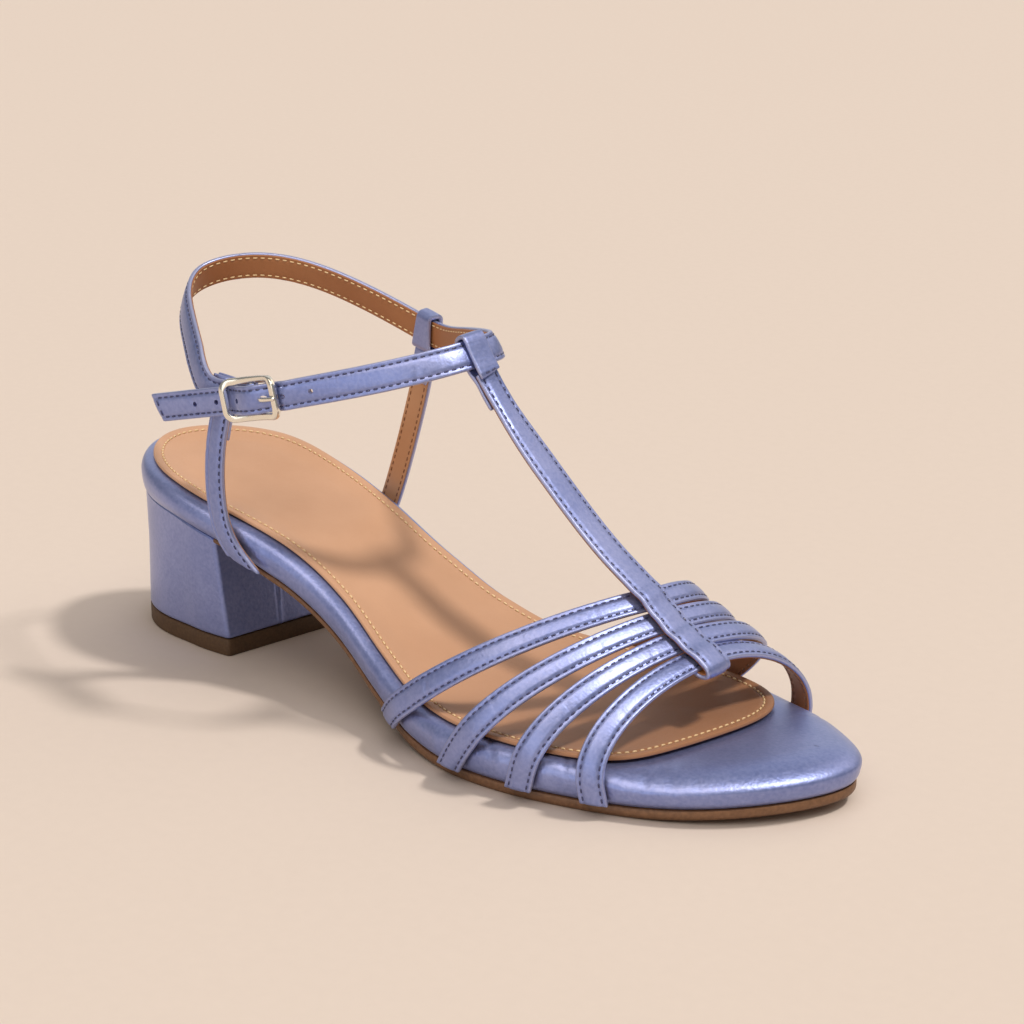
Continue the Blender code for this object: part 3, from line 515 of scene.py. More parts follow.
def put_piece(name, points, faces, finish, nodes, place=None, sharp=42.0):
    """A welded, outward-facing mesh piece in metres; place is kept as the attribute strap_place."""
    material, slot = finish
    points = np.asarray(points, float).reshape(-1, 3)
    mesh = bpy.data.meshes.new(name)
    mesh.from_pydata(((points - SHOE_MIDDLE) * MM).tolist(), [], [list(map(int, face)) for face in faces])
    if place is not None:
        layer = mesh.attributes.new("strap_place", "FLOAT_VECTOR", "POINT")
        layer.data.foreach_set("vector", (np.asarray(place, float).reshape(-1, 3) * MM).ravel())
    shell = bmesh.new()
    shell.from_mesh(mesh)
    bmesh.ops.remove_doubles(shell, verts=shell.verts, dist=2e-6)
    bmesh.ops.delete(shell, geom=[v for v in shell.verts if not v.link_faces], context="VERTS")
    bmesh.ops.recalc_face_normals(shell, faces=shell.faces)
    shell.to_mesh(mesh)
    shell.free()
    mesh.materials.append(material)
    mesh.shade_smooth()
    mesh.set_sharp_from_angle(angle=math.radians(sharp))
    piece = bpy.data.objects.new(name, mesh)
    bpy.context.scene.collection.objects.link(piece)
    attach(piece, "root")
    for node in nodes:
        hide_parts(node)


# Materials
def linear(code):
    """An sRGB hex colour as linear red, green, blue and full alpha."""
    parts = np.array([int(code[i : i + 2], 16) for i in (1, 3, 5)]) / 255
    parts = np.where(parts <= 0.04045, parts / 12.92, ((parts + 0.055) / 1.055) ** 2.4)
    return (*parts.tolist(), 1.0)


def feed(tree, node, feeds):
    """Gives each named socket of a node a value or another node's output."""
    for socket, value in feeds.items():
        if isinstance(value, bpy.types.NodeSocket):
            tree.links.new(value, node.inputs[socket])
        else:
            node.inputs[socket].default_value = value
    return node


def add_node(tree, kind, feeds=None, **settings):
    """Adds a node with its settings, then feeds its sockets."""
    made = tree.nodes.new(kind)
    for key, value in settings.items():
        setattr(made, key, value)
    return feed(tree, made, feeds or {})


def new_material(name):
    """A material with its node tree, its shader and the coordinates on the object."""
    made = bpy.data.materials.new(name)
    made.use_nodes = True
    tree = made.node_tree
    spot = add_node(tree, "ShaderNodeTexCoord").outputs["Object"]
    return made, tree, tree.nodes["Principled BSDF"], spot


def noise(tree, spot, size, detail):
    """Cloudy shares from 0 to 1, with patches of about one size in metres."""
    feeds = {"Vector": spot, "Scale": 1 / size, "Detail": detail}
    return add_node(tree, "ShaderNodeTexNoise", feeds).outputs["Fac"]


def compute(tree, operation, *values):
    """Sum or product of values."""
    return add_node(tree, "ShaderNodeMath", dict(enumerate(values)), operation=operation).outputs[0]


def two_tone(tree, share, dark, light, low=0.0, high=1.0):
    """Colour that passes from dark to light while the share goes from low to high."""
    ramp = add_node(tree, "ShaderNodeValToRGB", {"Fac": share})
    for stop, position, code in zip(ramp.color_ramp.elements, (low, high), (dark, light)):
        stop.position = position
        stop.color = linear(code)
    return ramp.outputs["Color"]


def blend(tree, share, colour, code):
    """A colour that gives way to another one by a share."""
    feeds = {"Factor": share, "A": colour, "B": linear(code)}
    return add_node(tree, "ShaderNodeMix", feeds, data_type="RGBA").outputs["Result"]


def spread(tree, share, low, high):
    """A value between low and high by a share from 0 to 1."""
    return add_node(tree, "ShaderNodeMapRange", {"Value": share, "To Min": low, "To Max": high}).outputs[0]


def relief(tree, height, strength, depth):
    """Face directions tilted by the slopes of a height."""
    feeds = {"Height": height, "Strength": strength, "Distance": depth}
    return add_node(tree, "ShaderNodeBump", feeds).outputs[0]


def foil_leather(name, on_strap):
    """Calf leather with a metallic lavender foil and a fine pebble grain.

    Straps also show fine bending lines across them and paler worn edges.
    """
    made, tree, shader, spot = new_material(name)
    # Pebbles 0.8 mm apart, drawn a little coarser than the real grain so that they show
    pebbles = {"Vector": spot, "Scale": 1 / 0.0008}
    grain = add_node(tree, "ShaderNodeTexVoronoi", pebbles, feature="SMOOTH_F1")
    soft = noise(tree, spot, 0.0011, 4.0)
    height = compute(tree, "ADD", soft, compute(tree, "MULTIPLY", grain.outputs["Distance"], 0.55))
    strength = 0.42
    # Shade in clouds 22 mm wide, broken up by the grain
    cloud = noise(tree, spot, 0.022, 3.0)
    tone = compute(tree, "MULTIPLY", compute(tree, "ADD", cloud, soft), 0.5)
    colour = two_tone(tree, tone, "#7484C2", "#929ED5", 0.35, 0.65)
    if on_strap:
        place = add_node(tree, "ShaderNodeAttribute", attribute_name="strap_place").outputs["Vector"]
        # Fine bending lines 0.8 mm apart that run across the strap
        stretch = {"Vector": place, "Scale": (1 / 0.0008, 1 / 0.006, 0.0)}
        across = add_node(tree, "ShaderNodeMapping", stretch)
        lines = noise(tree, across.outputs[0], 1.0, 3.0)
        height = compute(tree, "MULTIPLY_ADD", lines, 0.8, height)
        strength = 0.34
        # The foil is rubbed paler along the edges
        worn = add_node(tree, "ShaderNodeSeparateXYZ", {0: place}).outputs["Z"]
        colour = blend(tree, compute(tree, "MULTIPLY", worn, 1000.0), colour, "#AEB5DC")
    feed(tree, shader, {
        "Base Color": colour,
        "Roughness": spread(tree, soft, 0.38, 0.50),
        "Normal": relief(tree, height, strength, 0.0002),
        "Metallic": 0.8,
        "Coat Weight": 1.0,
        "Coat Roughness": 0.42,
    })
    return made


def tan_leather(name, dark, light, grain_size, painted_toe_shade=None):
    """Vegetable-tanned lining leather: smooth, satin, with fine pores and faint cloudy shade."""
    made, tree, shader, spot = new_material(name)
    pores = noise(tree, spot, grain_size, 5.0)
    colour = two_tone(tree, noise(tree, spot, 0.03, 4.0), dark, light, 0.3, 0.7)
    if painted_toe_shade is not None:
        # Painted shade: darker from the waist to the toes, where the vamp straps shade the sock
        along = add_node(tree, "ShaderNodeSeparateXYZ", {0: spot}).outputs["X"]
        reach = {"Value": along, "From Min": -0.04, "From Max": 0.085}
        share = add_node(tree, "ShaderNodeMapRange", reach, interpolation_type="SMOOTHSTEP")
        colour = blend(tree, share.outputs[0], colour, painted_toe_shade)
    feed(tree, shader, {
        "Base Color": colour,
        "Roughness": spread(tree, pores, 0.42, 0.6),
        "Normal": relief(tree, pores, 0.25, 0.00012),
    })
    return made


def moulded(name, dark, light, speck, rough):
    """Moulded sole stock: fine even grit in two close shades."""
    made, tree, shader, spot = new_material(name)
    grit = noise(tree, spot, speck, 6.0)
    feed(tree, shader, {
        "Base Color": two_tone(tree, grit, dark, light, 0.35, 0.65),
        "Roughness": rough,
        "Normal": relief(tree, grit, 0.2, 0.0001),
    })
    return made


def plated(name):
    """Nickel-plated zinc, polished and lightly scuffed."""
    made, tree, shader, spot = new_material(name)
    sheen = spread(tree, noise(tree, spot, 0.0012, 5.0), 0.16, 0.30)
    feed(tree, shader, {"Base Color": linear("#F2EEE2"), "Roughness": sheen, "Metallic": 1.0})
    return made


def twisted_thread(name, dark, light):
    """Waxed polyester thread: two plies show as short shade changes 0.5 mm apart."""
    made, tree, shader, spot = new_material(name)
    colour = two_tone(tree, noise(tree, spot, 0.0005, 2.0), dark, light)
    feed(tree, shader, {"Base Color": colour, "Roughness": 0.4, "Coat Weight": 0.6, "Coat Roughness": 0.2})
    return made


# Finishes: each a material and the slot it stands for
STRAP_LEATHER = (foil_leather("metallic_foil_leather_strap", True), "metallic_leather")
WRAP_LEATHER = (foil_leather("metallic_foil_leather_wrap", False), "metallic_leather")
# The sock's third colour is painted shade that darkens it towards the toes
SOCK_LEATHER = (tan_leather("tan_sock_leather", "#BC9377", "#C79E82", 0.0009, "#9A6E50"), "tan_leather")
LINING_LEATHER = (tan_leather("tan_lining_leather", "#925C36", "#A46E45", 0.0008), "tan_leather")
# The quarter straps' lining is the lining leather painted lighter, for the light that falls on it there
QUARTER_LINING_PAINTED_LIGHT = (tan_leather("pale_tan_lining_leather", "#B98A66", "#C79A77", 0.0008), "tan_leather")
SOLE_RESIN = (moulded("brown_sole_resin", "#684830", "#7A573C", 0.0012, 0.5), "sole_resin")
TOP_RUBBER = (moulded("brown_top_piece_rubber", "#46301C", "#563E26", 0.0009, 0.6), "top_piece_rubber")
NICKEL = (plated("polished_nickel"), "nickel")
NAVY_THREAD = (twisted_thread("navy_waxed_thread", "#23264A", "#3A3F72"), "metallic_leather")
CREAM_THREAD = (twisted_thread("cream_waxed_thread", "#D0AF80", "#E8D0A8"), "tan_leather")
BROWN_THREAD = (twisted_thread("brown_waxed_thread", "#6A4224", "#94663E"), "tan_leather")


# Sole pieces
def sole_solid(outer, inner, top_columns, low_columns):
    """Sections across the sole: up the outer levels, over the top, down the inner levels and back below.

    outer and inner are levels by stations by xyz. Returns stations by points by xyz, and the top's slice.
    """
    share = np.linspace(0.0, 1.0, top_columns + 2)[1:-1, None]
    top = outer[-1][:, None] + share * (inner[-1] - outer[-1])[:, None]
    share = np.linspace(0.0, 1.0, low_columns + 2)[1:-1, None]
    low = inner[0][:, None] + share * (outer[0] - inner[0])[:, None]
    parts = [outer.transpose(1, 0, 2), top, inner[::-1].transpose(1, 0, 2), low]
    return np.concatenate(parts, axis=1), slice(len(outer), len(outer) + top_columns)


def strap_feet():
    """Stations along of the straps' feet on the outer and the inner side of the rim."""
    outer = [row[0] for row in VAMP_STRAPS] + [QUARTER_OUTER[0][0] - 2.0]
    inner = [row[2] for row in VAMP_STRAPS] + [QUARTER_INNER[0][0] + 1.0]
    return np.array(outer), np.array(inner)


def build_footbed():
    """The wrapped footbed: the rim's rolled side profile carried round the outline.

    At a distance d along the rim from a strap's foot the wrap is pressed in by 0.30 exp(-(d/4.5)^2), and
    beside the foot it rises in a soft ridge of 0.22 exp(-((|d| - 6.8)/1.6)^2).
    """
    steps = 330
    knots = path_knots(np.array(RIM_SIDE) * (1.0, RIM_THICK))
    profile = spline(knots, RIM_SIDE, np.linspace(0.0, knots[-1], 30))
    profile[:, 0] = np.maximum(profile[:, 0], 0.0)
    sides = [[], []]
    levels = np.concatenate([[(7.0, 0.0)], profile, [(7.0, 1.0), (10.0, 1.0), (DISH_INSET, 1.0)]])
    for side, edge, inward, feet in zip(sides, sole_line(0.0, steps), sole_line(1.0, steps), strap_feet()):
        away = np.abs(edge[:, :1] - feet)
        ridge = 0.22 * np.exp(-(((away - 6.8) / 1.6) ** 2))
        press = np.sum(-0.30 * np.exp(-((away / 4.5) ** 2)) + ridge, axis=1)
        for inset, share in levels:
            drawn = rim_tuck(edge[:, 0]) * max(0.0, 1.0 - 2.0 * share) ** 2
            in_by = inset + drawn - press * math.sin(math.pi * share)
            place = edge + (inward - edge) * in_by[:, None]
            sunk = dish(place[:, 0]) * smooth_step(4.2, DISH_INSET, inset)
            roll = TOE_ROLL * share**2 * max(0.0, 1.0 - inset / TOE_ROLL_IN) ** 2
            sunk = sunk + roll * smooth_step(*TOE_ROLL_FROM, place[:, 0])
            side.append(np.column_stack([place, rim_bottom(place[:, 0]) + RIM_THICK * share - sunk]))
    section, top = sole_solid(np.array(sides[0]), np.array(sides[1]), 40, 3)
    section[:, top, 2] = rim_top(section[:, top, 0]) - dish(section[:, top, 0])
    along, across, height = np.moveaxis(section, -1, 0)
    creases = hollow(RIM_FOLDS, along, across) * (height > rim_bottom(along) + 4.0)
    section[..., 2] -= creases
    faces = grid_quads(*section.shape[:2])
    put_piece("footbed_wrap", section, faces, WRAP_LEATHER, ["footbed"])


def sock_height(along, inset):
    """Height of the sock's face: the rim's top less a share of the dish, growing from its edge inwards."""
    share = SOCK_EDGE_SHARE + (1.0 - SOCK_EDGE_SHARE) * smooth_step(0.0, SOCK_DISH_INSET, inset)
    return rim_top(along) - dish(along) * share + SOCK_GAP + SOCK_THICK


def build_sock():
    """The insole sock: a rounded cut edge, a stitch groove along it, and a dished face with soft lines."""
    steps = 300
    edge = [(SOCK_DISH_INSET, -SOCK_THICK), (0.25, -SOCK_THICK)]
    edge += [(0.0, -0.95), (0.0, -0.4), (0.2, -0.1), (0.6, 0.0)]
    beside_stitch = SOCK_STITCH_IN + np.array((-1.7, -1.1, -0.7, -0.35, 0.0, 0.35, 0.7, 1.1, 2.0, 3.4))
    inner_edge = [(inset, 0.0) for inset in (*beside_stitch, SOCK_DISH_INSET)]
    sides = [[], []]
    for inset, drop in edge + inner_edge:
        groove = 0.34 * math.exp(-(((inset - SOCK_STITCH_IN) / 0.45) ** 2)) if drop == 0.0 else 0.0
        for side, plan in zip(sides, sock_line(inset, steps)):
            side.append(np.column_stack([plan, sock_height(plan[:, 0], inset) + drop - groove]))
    section, top = sole_solid(np.array(sides[0]), np.array(sides[1]), 36, 3)
    section[:, top, 2] = sock_height(section[:, top, 0], SOCK_DISH_INSET)
    upper = slice(len(edge), section.shape[1] - 3 - len(edge))
    section[:, upper, 2] -= hollow(SOCK_FOLDS, section[:, upper, 0], section[:, upper, 1])
    faces = grid_quads(*section.shape[:2])
    put_piece("insole_sock_leather", section, faces, SOCK_LEATHER, ["insole_sock"])
    outer, inner = sock_line(SOCK_STITCH_IN, 400)
    ring = np.concatenate([outer, inner[-2:0:-1]])
    ring = np.column_stack([ring, sock_height(ring[:, 0], SOCK_STITCH_IN) - 0.2])
    ring[:, 2] -= hollow(SOCK_FOLDS, ring[:, 0], ring[:, 1])
    ring = np.concatenate([ring, ring[:1]])
    upwards = np.tile((0.0, 0.0, 1.0), (len(ring), 1))
    beads = stitch_row(ring, upwards, SOCK_STITCH_PITCH, SOCK_STITCH_RADIUS)
    put_stitches("insole_sock_stitches", [beads], CREAM_THREAD)


def outsole_low(along):
    """Height of the outsole's lower face: the footbed's underside less a gap and the sole's thickness."""
    return rim_bottom(along) - GAP - level_curve(OUTSOLE_THICK, along)


def build_outsole():
    """The outsole: a slab between its own lower face and the footbed, with rounded edges."""
    start = BREAST_TOP + BREAST_CLEAR
    sides = [[], []]
    rows = ((1.0, 0.0), (0.35, 0.05), (0.08, 0.2), (0.0, 0.4), (0.0, 0.75), (0.2, 0.93), (0.7, 1.0))
    for inset, share in rows:
        lines = part_line(lambda along: OUTSOLE_INSET + inset + rim_tuck(along), start, None, 220)
        for side, plan in zip(sides, lines):
            low = outsole_low(plan[:, 0])
            side.append(np.column_stack([plan, low + (rim_bottom(plan[:, 0]) - GAP - low) * share]))
    section, _ = sole_solid(np.array(sides[0]), np.array(sides[1]), 12, 12)
    section[..., 2] = np.maximum(section[..., 2], 0.0)
    faces = grid_quads(*section.shape[:2]).tolist() + [list(range(section.shape[1]))]
    put_piece("outsole_slab", section, faces, SOLE_RESIN, ["outsole"])


def heel_ring(share, inset=0.0):
    """Closed plan line of the heel at a share of its height, its corners rounded by a moving mean."""
    shares, backs, sides = np.array(HEEL_SIDE).T
    breast = BREAST_TOP + (BREAST_BOTTOM - BREAST_TOP) * share - inset
    back_runs = part_line(np.interp(share, shares, backs) + inset, None, breast, 120)
    side_runs = part_line(np.interp(share, shares, sides) + inset, None, breast, 120)
    runs = zip(back_runs, side_runs)
    outer, inner = [back + (side - back) * smooth_step(*HEEL_ROUND, back[:, :1]) for back, side in runs]
    ring = np.concatenate([outer, inner[::-1]])
    ring = np.concatenate([ring, ring[:1]])
    run = run_along(ring)
    at = np.linspace(0.0, run[-1], 361)[:-1]
    ring = read_rows(at, run, ring)
    return sum(np.roll(ring, k, axis=0) for k in (-2, -1, 0, 1, 2)) / 5


def closed_levels(name, levels, finish, node):
    """A solid of closed plan lines one above the other, shut by fans at both ends."""
    points = np.array(levels)
    count = points.shape[1]
    faces = grid_quads(*points.shape[:2]).tolist()
    middles = np.array([points[0].mean(0), points[-1].mean(0)])
    total = points.size // 3
    k = np.arange(count)
    for base, middle in ((0, total), (total - count, total + 1)):
        faces += np.column_stack([base + k, base + (k + 1) % count, np.full(count, middle)]).tolist()
    put_piece(name, np.concatenate([points.reshape(-1, 3), middles]), faces, finish, [node])


def build_heel():
    """Covered heel block with its leather seam down the breast, and the top piece under it."""
    floor = TOP_PIECE_THICK + GAP
    levels = []
    rows = [(1.0, 0.5, 0.0), (1.0, 0.15, 0.25), (1.0, 0.0, 0.7)]
    rows += [(share, 0.0, 0.0) for share in np.linspace(0.96, 0.04, 40)]
    # The cover turns in under the rim and leaves a narrow shadow line
    rows += [(0.0, 0.0, -1.5), (0.0, 0.3, -0.95), (0.0, 1.1, -0.7), (0.0, 2.2, -0.6)]
    for share, inset, lift in rows:
        ring = heel_ring(share, inset)
        # The cover's two ends meet a little off the breast's middle: a thin trough with one lip raised
        breast = smooth_step(BREAST_TOP - 3.0, BREAST_TOP - 0.6, ring[:, 0] - BREAST_SLANT * ring[:, 1])
        off = ring[:, 1] - BREAST_SEAM
        seam = -0.4 * np.exp(-((off / 0.35) ** 2)) + 0.22 * np.exp(-(((off - 0.7) / 0.6) ** 2))
        ring = ring + np.column_stack([seam * breast, np.zeros_like(seam)])
        height = floor + (rim_bottom(ring[:, 0]) - GAP - floor) * (1.0 - share) + lift
        levels.append(np.column_stack([ring, height]))
    closed_levels("heel_block_cover", levels, WRAP_LEATHER, "heel_block")
    rows = ((0.5, 0.0), (0.12, 0.12), (0.0, 0.5), (0.0, 2.0), (0.0, 4.9), (0.12, 5.3))
    rows += ((0.5, TOP_PIECE_THICK),)
    rings = [(heel_ring(1.0, inset), height) for inset, height in rows]
    levels = [np.column_stack([ring, np.full(len(ring), height)]) for ring, height in rings]
    closed_levels("heel_top_piece_rubber", levels, TOP_RUBBER, "heel_top_piece")


# Stitches
def stitch_row(line, outward, pitch, radius):
    """Thread beads along a seam line: each is a short tube that rises in its middle and dives at its ends.

    A bead of half length 0.36 pitch has its middle at radius (0.55 - 1.3 t^4) above the seam for t from -1
    to 1, and its own radius falls off as sqrt(1 - t^6).
    """
    run = run_along(line)
    count = max(int(run[-1] / pitch), 1)
    centre = (np.arange(count) + 0.5) * run[-1] / count
    t = np.linspace(-1.0, 1.0, BEAD_STATIONS)
    at = centre[:, None] + 0.36 * run[-1] / count * t
    middle = read_rows(at, run, line)
    up = unit(read_rows(at, run, outward))
    way = unit(np.gradient(middle, axis=1))
    side = unit(np.cross(way, up))
    middle = middle + up * (radius * (0.55 - 1.3 * t**4))[None, :, None]
    angle = np.linspace(0.0, 2 * math.pi, BEAD_SIDES + 1)[:-1]
    size = radius * np.sqrt(np.maximum(1.0 - t**6, 0.0))
    ring = np.cos(angle)[:, None] * 1.1 * side[:, :, None] + np.sin(angle)[:, None] * up[:, :, None]
    return middle[:, :, None] + size[None, :, None, None] * ring


def put_stitches(name, rows, thread):
    """One piece of many thread beads, each a small grid whose ends close to a point."""
    beads = np.concatenate(rows)
    first = np.arange(len(beads))[:, None, None] * (BEAD_STATIONS * BEAD_SIDES)
    faces = (first + grid_quads(BEAD_STATIONS, BEAD_SIDES)).reshape(-1, 4)
    put_piece(name, beads, faces, thread, [], sharp=80.0)


# Straps
def make_route(path, across, half, outwards):
    """Table of even stations along a strap: run, middle, across, outward and half width, in 11 columns."""
    tangent = unit(np.gradient(path, axis=0))
    outward = np.cross(across, tangent)
    outward = unit(outward) * np.sign(np.sum(outward * outwards, axis=1))[:, None]
    run = run_along(path)
    table = np.column_stack([path, across, outward, np.broadcast_to(half, len(path))])
    at = np.linspace(0.0, run[-1], max(int(round(run[-1] / STATION)), 2) + 1)
    return np.column_stack([at, read_rows(at, run, table)])


def on_route(route, run, across, lift):
    """Points at runs along a strap, moved across its width and lifted outwards."""
    shape = np.broadcast_shapes(np.shape(run), np.shape(across), np.shape(lift))
    table = read_rows(np.broadcast_to(run, shape), route[:, 0], route[:, 1:10])
    moved = table[..., 0:3] + np.asarray(across)[..., None] * table[..., 3:6]
    return moved + np.asarray(lift)[..., None] * table[..., 6:9]


def face_height(half, across, face):
    """Height of a strap's face: a crown of 1 - (w/half)^2 over its edge, less a trough at each seam."""
    top, crown, groove = face
    line = (np.abs(across) - (half - STITCH_IN)) / GROOVE_HALF
    return top + crown * (1.0 - (across / half) ** 2) - groove * np.exp(-(line**2))


def no_lift(run):
    """The lift of a strap that lies on nothing."""
    return np.zeros_like(run)


def punch_holes(holes, runs, run, w):
    """Moves rings of a strap's grid onto ellipses; returns the quads that stay and the walls through it."""
    rows, columns = w.shape
    index = np.arange(rows * columns).reshape(rows, columns)
    keep = np.ones((rows - 1, columns), bool)
    walls = []
    centre = FACE_COLUMNS // 2
    back_centre = FACE_COLUMNS + EDGE_COLUMNS + centre
    for place, half_long, half_wide, reach in holes:
        row = int(np.argmin(np.abs(runs - place)))
        ahead, aside = np.arange(-reach, reach), np.arange(-2, 2)
        step_i = np.concatenate([ahead, np.full(4, reach), -ahead, np.full(4, -reach)])
        step_j = np.concatenate([np.full(2 * reach, -2), aside, np.full(2 * reach, 2), -aside])
        turn = np.arctan2(step_j / 2, step_i / reach)
        upper = (row + step_i, centre + step_j)
        lower = (row + step_i, back_centre - step_j)
        for ring, column in ((upper, centre), (lower, back_centre)):
            run[ring] = place + half_long * np.cos(turn)
            w[ring] = half_wide * np.sin(turn)
            keep[row - reach : row + reach, column - 2 : column + 2] = False
        ring_up, ring_low = index[upper], index[lower]
        walls += np.stack([ring_up, np.roll(ring_up, -1), np.roll(ring_low, -1), ring_low], 1).tolist()
    return grid_quads(rows, columns)[keep.ravel()].tolist() + walls


def strap_surface(name, route, finish, nodes, face, low, inset=0.0, holes=(), lift=no_lift):
    """A closed strap: a section of face, round edge, back and round edge carried along the route.

    Its ends close with a lip rounded as a quarter ellipse.
    """
    radius = (face[0] - low) / 2
    total = route[-1, 0]
    lips = radius * np.array((0.0, 0.06, 0.2, 0.45))
    runs = np.concatenate([lips, route[2:-2, 0], total - lips[::-1]])
    half = np.interp(runs, route[:, 0], route[:, 10])[:, None] - inset
    w_face = np.linspace(-1.0, 1.0, FACE_COLUMNS)[None] * (half - radius * 0.7)
    h_face = face_height(half + inset, w_face, face)
    turn = np.linspace(math.pi / 2, -math.pi / 2, EDGE_COLUMNS + 2)[None, 1:-1]
    edge_h = h_face[:, -1:]
    w_edge = half - radius * 0.7 + radius * 0.7 * np.cos(turn)
    h_edge = (edge_h + low) / 2 + (edge_h - low) / 2 * np.sin(turn)
    w = np.concatenate([w_face, w_edge, w_face[:, ::-1], -w_edge[:, ::-1]], axis=1)
    h = np.concatenate([h_face, h_edge, np.full_like(w_face, low), h_edge[:, ::-1]], axis=1)
    run = np.repeat(runs[:, None], w.shape[1], axis=1)
    for share, slant, half_width, depth in STRAP_FOLDS.get(name.removesuffix("_leather"), ()):
        off = (run - share * total - slant * w) / half_width
        h = h - depth * np.exp(-(off**2)) * (h > low + 0.1)
    h = h + lift(run)
    ends = np.minimum(runs, total - runs)[:, None]
    round_off = np.sqrt(1.0 - np.clip(1.0 - ends / radius, 0.0, 1.0) ** 2) * 0.9 + 0.1
    middle = (h.max(1, keepdims=True) + h.min(1, keepdims=True)) / 2
    h = middle + (h - middle) * round_off
    w = w - np.sign(w) * radius * 0.5 * (1.0 - round_off)
    faces = punch_holes(holes, runs, run, w) + end_faces(*w.shape)
    worn = smooth_step(0.55, 0.0, half - np.abs(w)) * 0.75
    place = np.stack([run, w, worn], -1)
    put_piece(name, on_route(route, run, w, h), faces, finish, nodes, place)


def face_line(route, runs, across, half, face, flip=1.0):
    """Points on a strap's face, or on its back where flip is -1, with the directions outwards there."""
    height = flip * face_height(half, across, face)
    return on_route(route, runs, across, height), flip * read_rows(runs, route[:, 0], route[:, 7:10])


def seam(route, side, start, end, face, flip=1.0):
    """A stitch line along one side of a strap's face, with the directions it is sewn from."""
    runs = np.linspace(start, end, max(int((end - start) / 0.4), 4))
    half = np.interp(runs, route[:, 0], route[:, 10])
    return face_line(route, runs, side * (half - STITCH_IN), half, face, flip)


def cross_seam(route, run, face):
    """Stitches across a strap's face near its end."""
    half = float(np.interp(run, route[:, 0], route[:, 10]))
    across = np.linspace(STITCH_IN - half, half - STITCH_IN, 20)
    return stitch_row(*face_line(route, np.full(20, run), across, half, face), STITCH_PITCH, STITCH_RADIUS)


def dress_strap(name, route, node, start=0.6, end=0.6, holes=(), lift=no_lift, lining=LINING_LEATHER):
    """Leather face, tan lining and both sewing lines of one strap; returns the stitches of both faces."""
    total = route[-1, 0]
    leather = f"{name}_leather"
    strap_surface(leather, route, STRAP_LEATHER, [node], STRAP_FACE, STRAP_LOW, holes=holes, lift=lift)
    back = route.copy()
    back[:, 7:10] *= -1
    back = back[(back[:, 0] >= LINING_SHORT) & (back[:, 0] <= total - LINING_SHORT)]
    back_holes = [(place - back[0, 0], *sizes) for place, *sizes in holes]
    back[:, 0] -= back[0, 0]
    strap_surface(
        f"{name}_lining", back, lining, [], LINING_FACE, -STRAP_LOW - 0.1,
        inset=LINING_IN, holes=back_holes, lift=lambda run: -lift(run + LINING_SHORT),
    )
    navy, brown = [], []
    for side in (-1.0, 1.0):
        line, up = seam(route, side, start, total - end, STRAP_FACE)
        line = line + up * lift(np.linspace(start, total - end, len(line)))[:, None]
        navy.append(stitch_row(line, up, STITCH_PITCH, STITCH_RADIUS))
        line, up = seam(route, side, start, total - end, LINING_FACE, -1.0)
        brown.append(stitch_row(line, up, STITCH_PITCH, LINING_STITCH_RADIUS))
    return navy, brown


def sheared(path, across, foot_way, at_start):
    """Across directions leaned along the strap over its last 5 mm, so that its end follows the rim."""
    tangent = unit(np.gradient(path, axis=0))
    end = 0 if at_start else -1
    lean = (foot_way @ tangent[end]) / (foot_way @ across[end])
    run = run_along(path)
    away = run if at_start else run[-1] - run
    return across + tangent * (lean * (1.0 - smooth_step(0.0, 5.0, away)))[:, None]


def crown_slope(along):
    """Rise per run of the T strap's line, from 3 mm before a station to 3 mm after it."""
    x, _, z = np.array(T_STRAP[:3:-1]).T
    return float(np.diff(np.interp((along - 3.0, along + 3.0), x, z))[0]) / 6.0


def vamp_route(outer, crown, inner, height, spring, outer_sweep, inner_sweep, inner_power):
    """A vamp strap: up the rim from each foot to the spring, then a superellipse arch, swept in plan."""
    rows = []
    sides = []
    quarter = np.linspace(0.0, math.pi / 2, ARCH_ROWS + 1)[:-1]
    halves = ((outer, outer_sweep, ARCH_POWER, False), (inner, inner_sweep, inner_power, True))
    for along, sweep, power, is_inner in halves:
        way = 1.0 if is_inner else -1.0
        clear = way * (FOOT_GAP + STRAP_THICK / 2)
        low_across = edge_at(along, is_inner) + clear - way * FOOT_TUCK
        low = float(rim_bottom(along)) + GAP
        drop = (along - crown - sweep * (low_across - RIDGE_ACROSS)) / (low - height)
        foot_up = low + RIM_THICK * 0.6
        foot_across = edge_at(along + drop * (foot_up - low), is_inner) + clear
        arch_across = RIDGE_ACROSS + (foot_across - RIDGE_ACROSS) * np.cos(quarter) ** (2 / power)
        arch_up = spring + (height - spring) * np.sin(quarter) ** (2 / power)
        across = np.concatenate([[low_across, foot_across], arch_across])
        up = np.concatenate([[low, foot_up], arch_up])
        half = np.column_stack([crown + drop * (up - height) + sweep * (across - RIDGE_ACROSS), across, up])
        rows.append(half[::-1] if is_inner else half)
        rim = rim_way(along, is_inner)
        sides.append(unit((-way * rim[1], way * rim[0], 0.0)))
    path, _ = fine_path(np.concatenate([rows[0], [(crown, RIDGE_ACROSS, height)], rows[1]]))
    rise = np.clip((path[:, 2:] - spring) / (height - spring), 0.0, 1.0)
    turn = smooth_step(RIDGE_ACROSS - 3.0, RIDGE_ACROSS + 3.0, path[:, 1:2])
    side = sides[0] + (sides[1] - sides[0]) * turn
    outward = side * np.sqrt(1.0 - rise**2) + rise * unit((-crown_slope(crown), 0.0, 1.0))
    across = unit(np.cross(outward, np.gradient(path, axis=0)))
    for along, is_inner in ((outer, False), (inner, True)):
        across = sheared(path, across, rim_way(along, is_inner), not is_inner)
    widths = VAMP_FOOT_WIDTH + (VAMP_CROWN_WIDTH - VAMP_FOOT_WIDTH) * rise[:, 0]
    return make_route(path, across, widths / 2, outward)


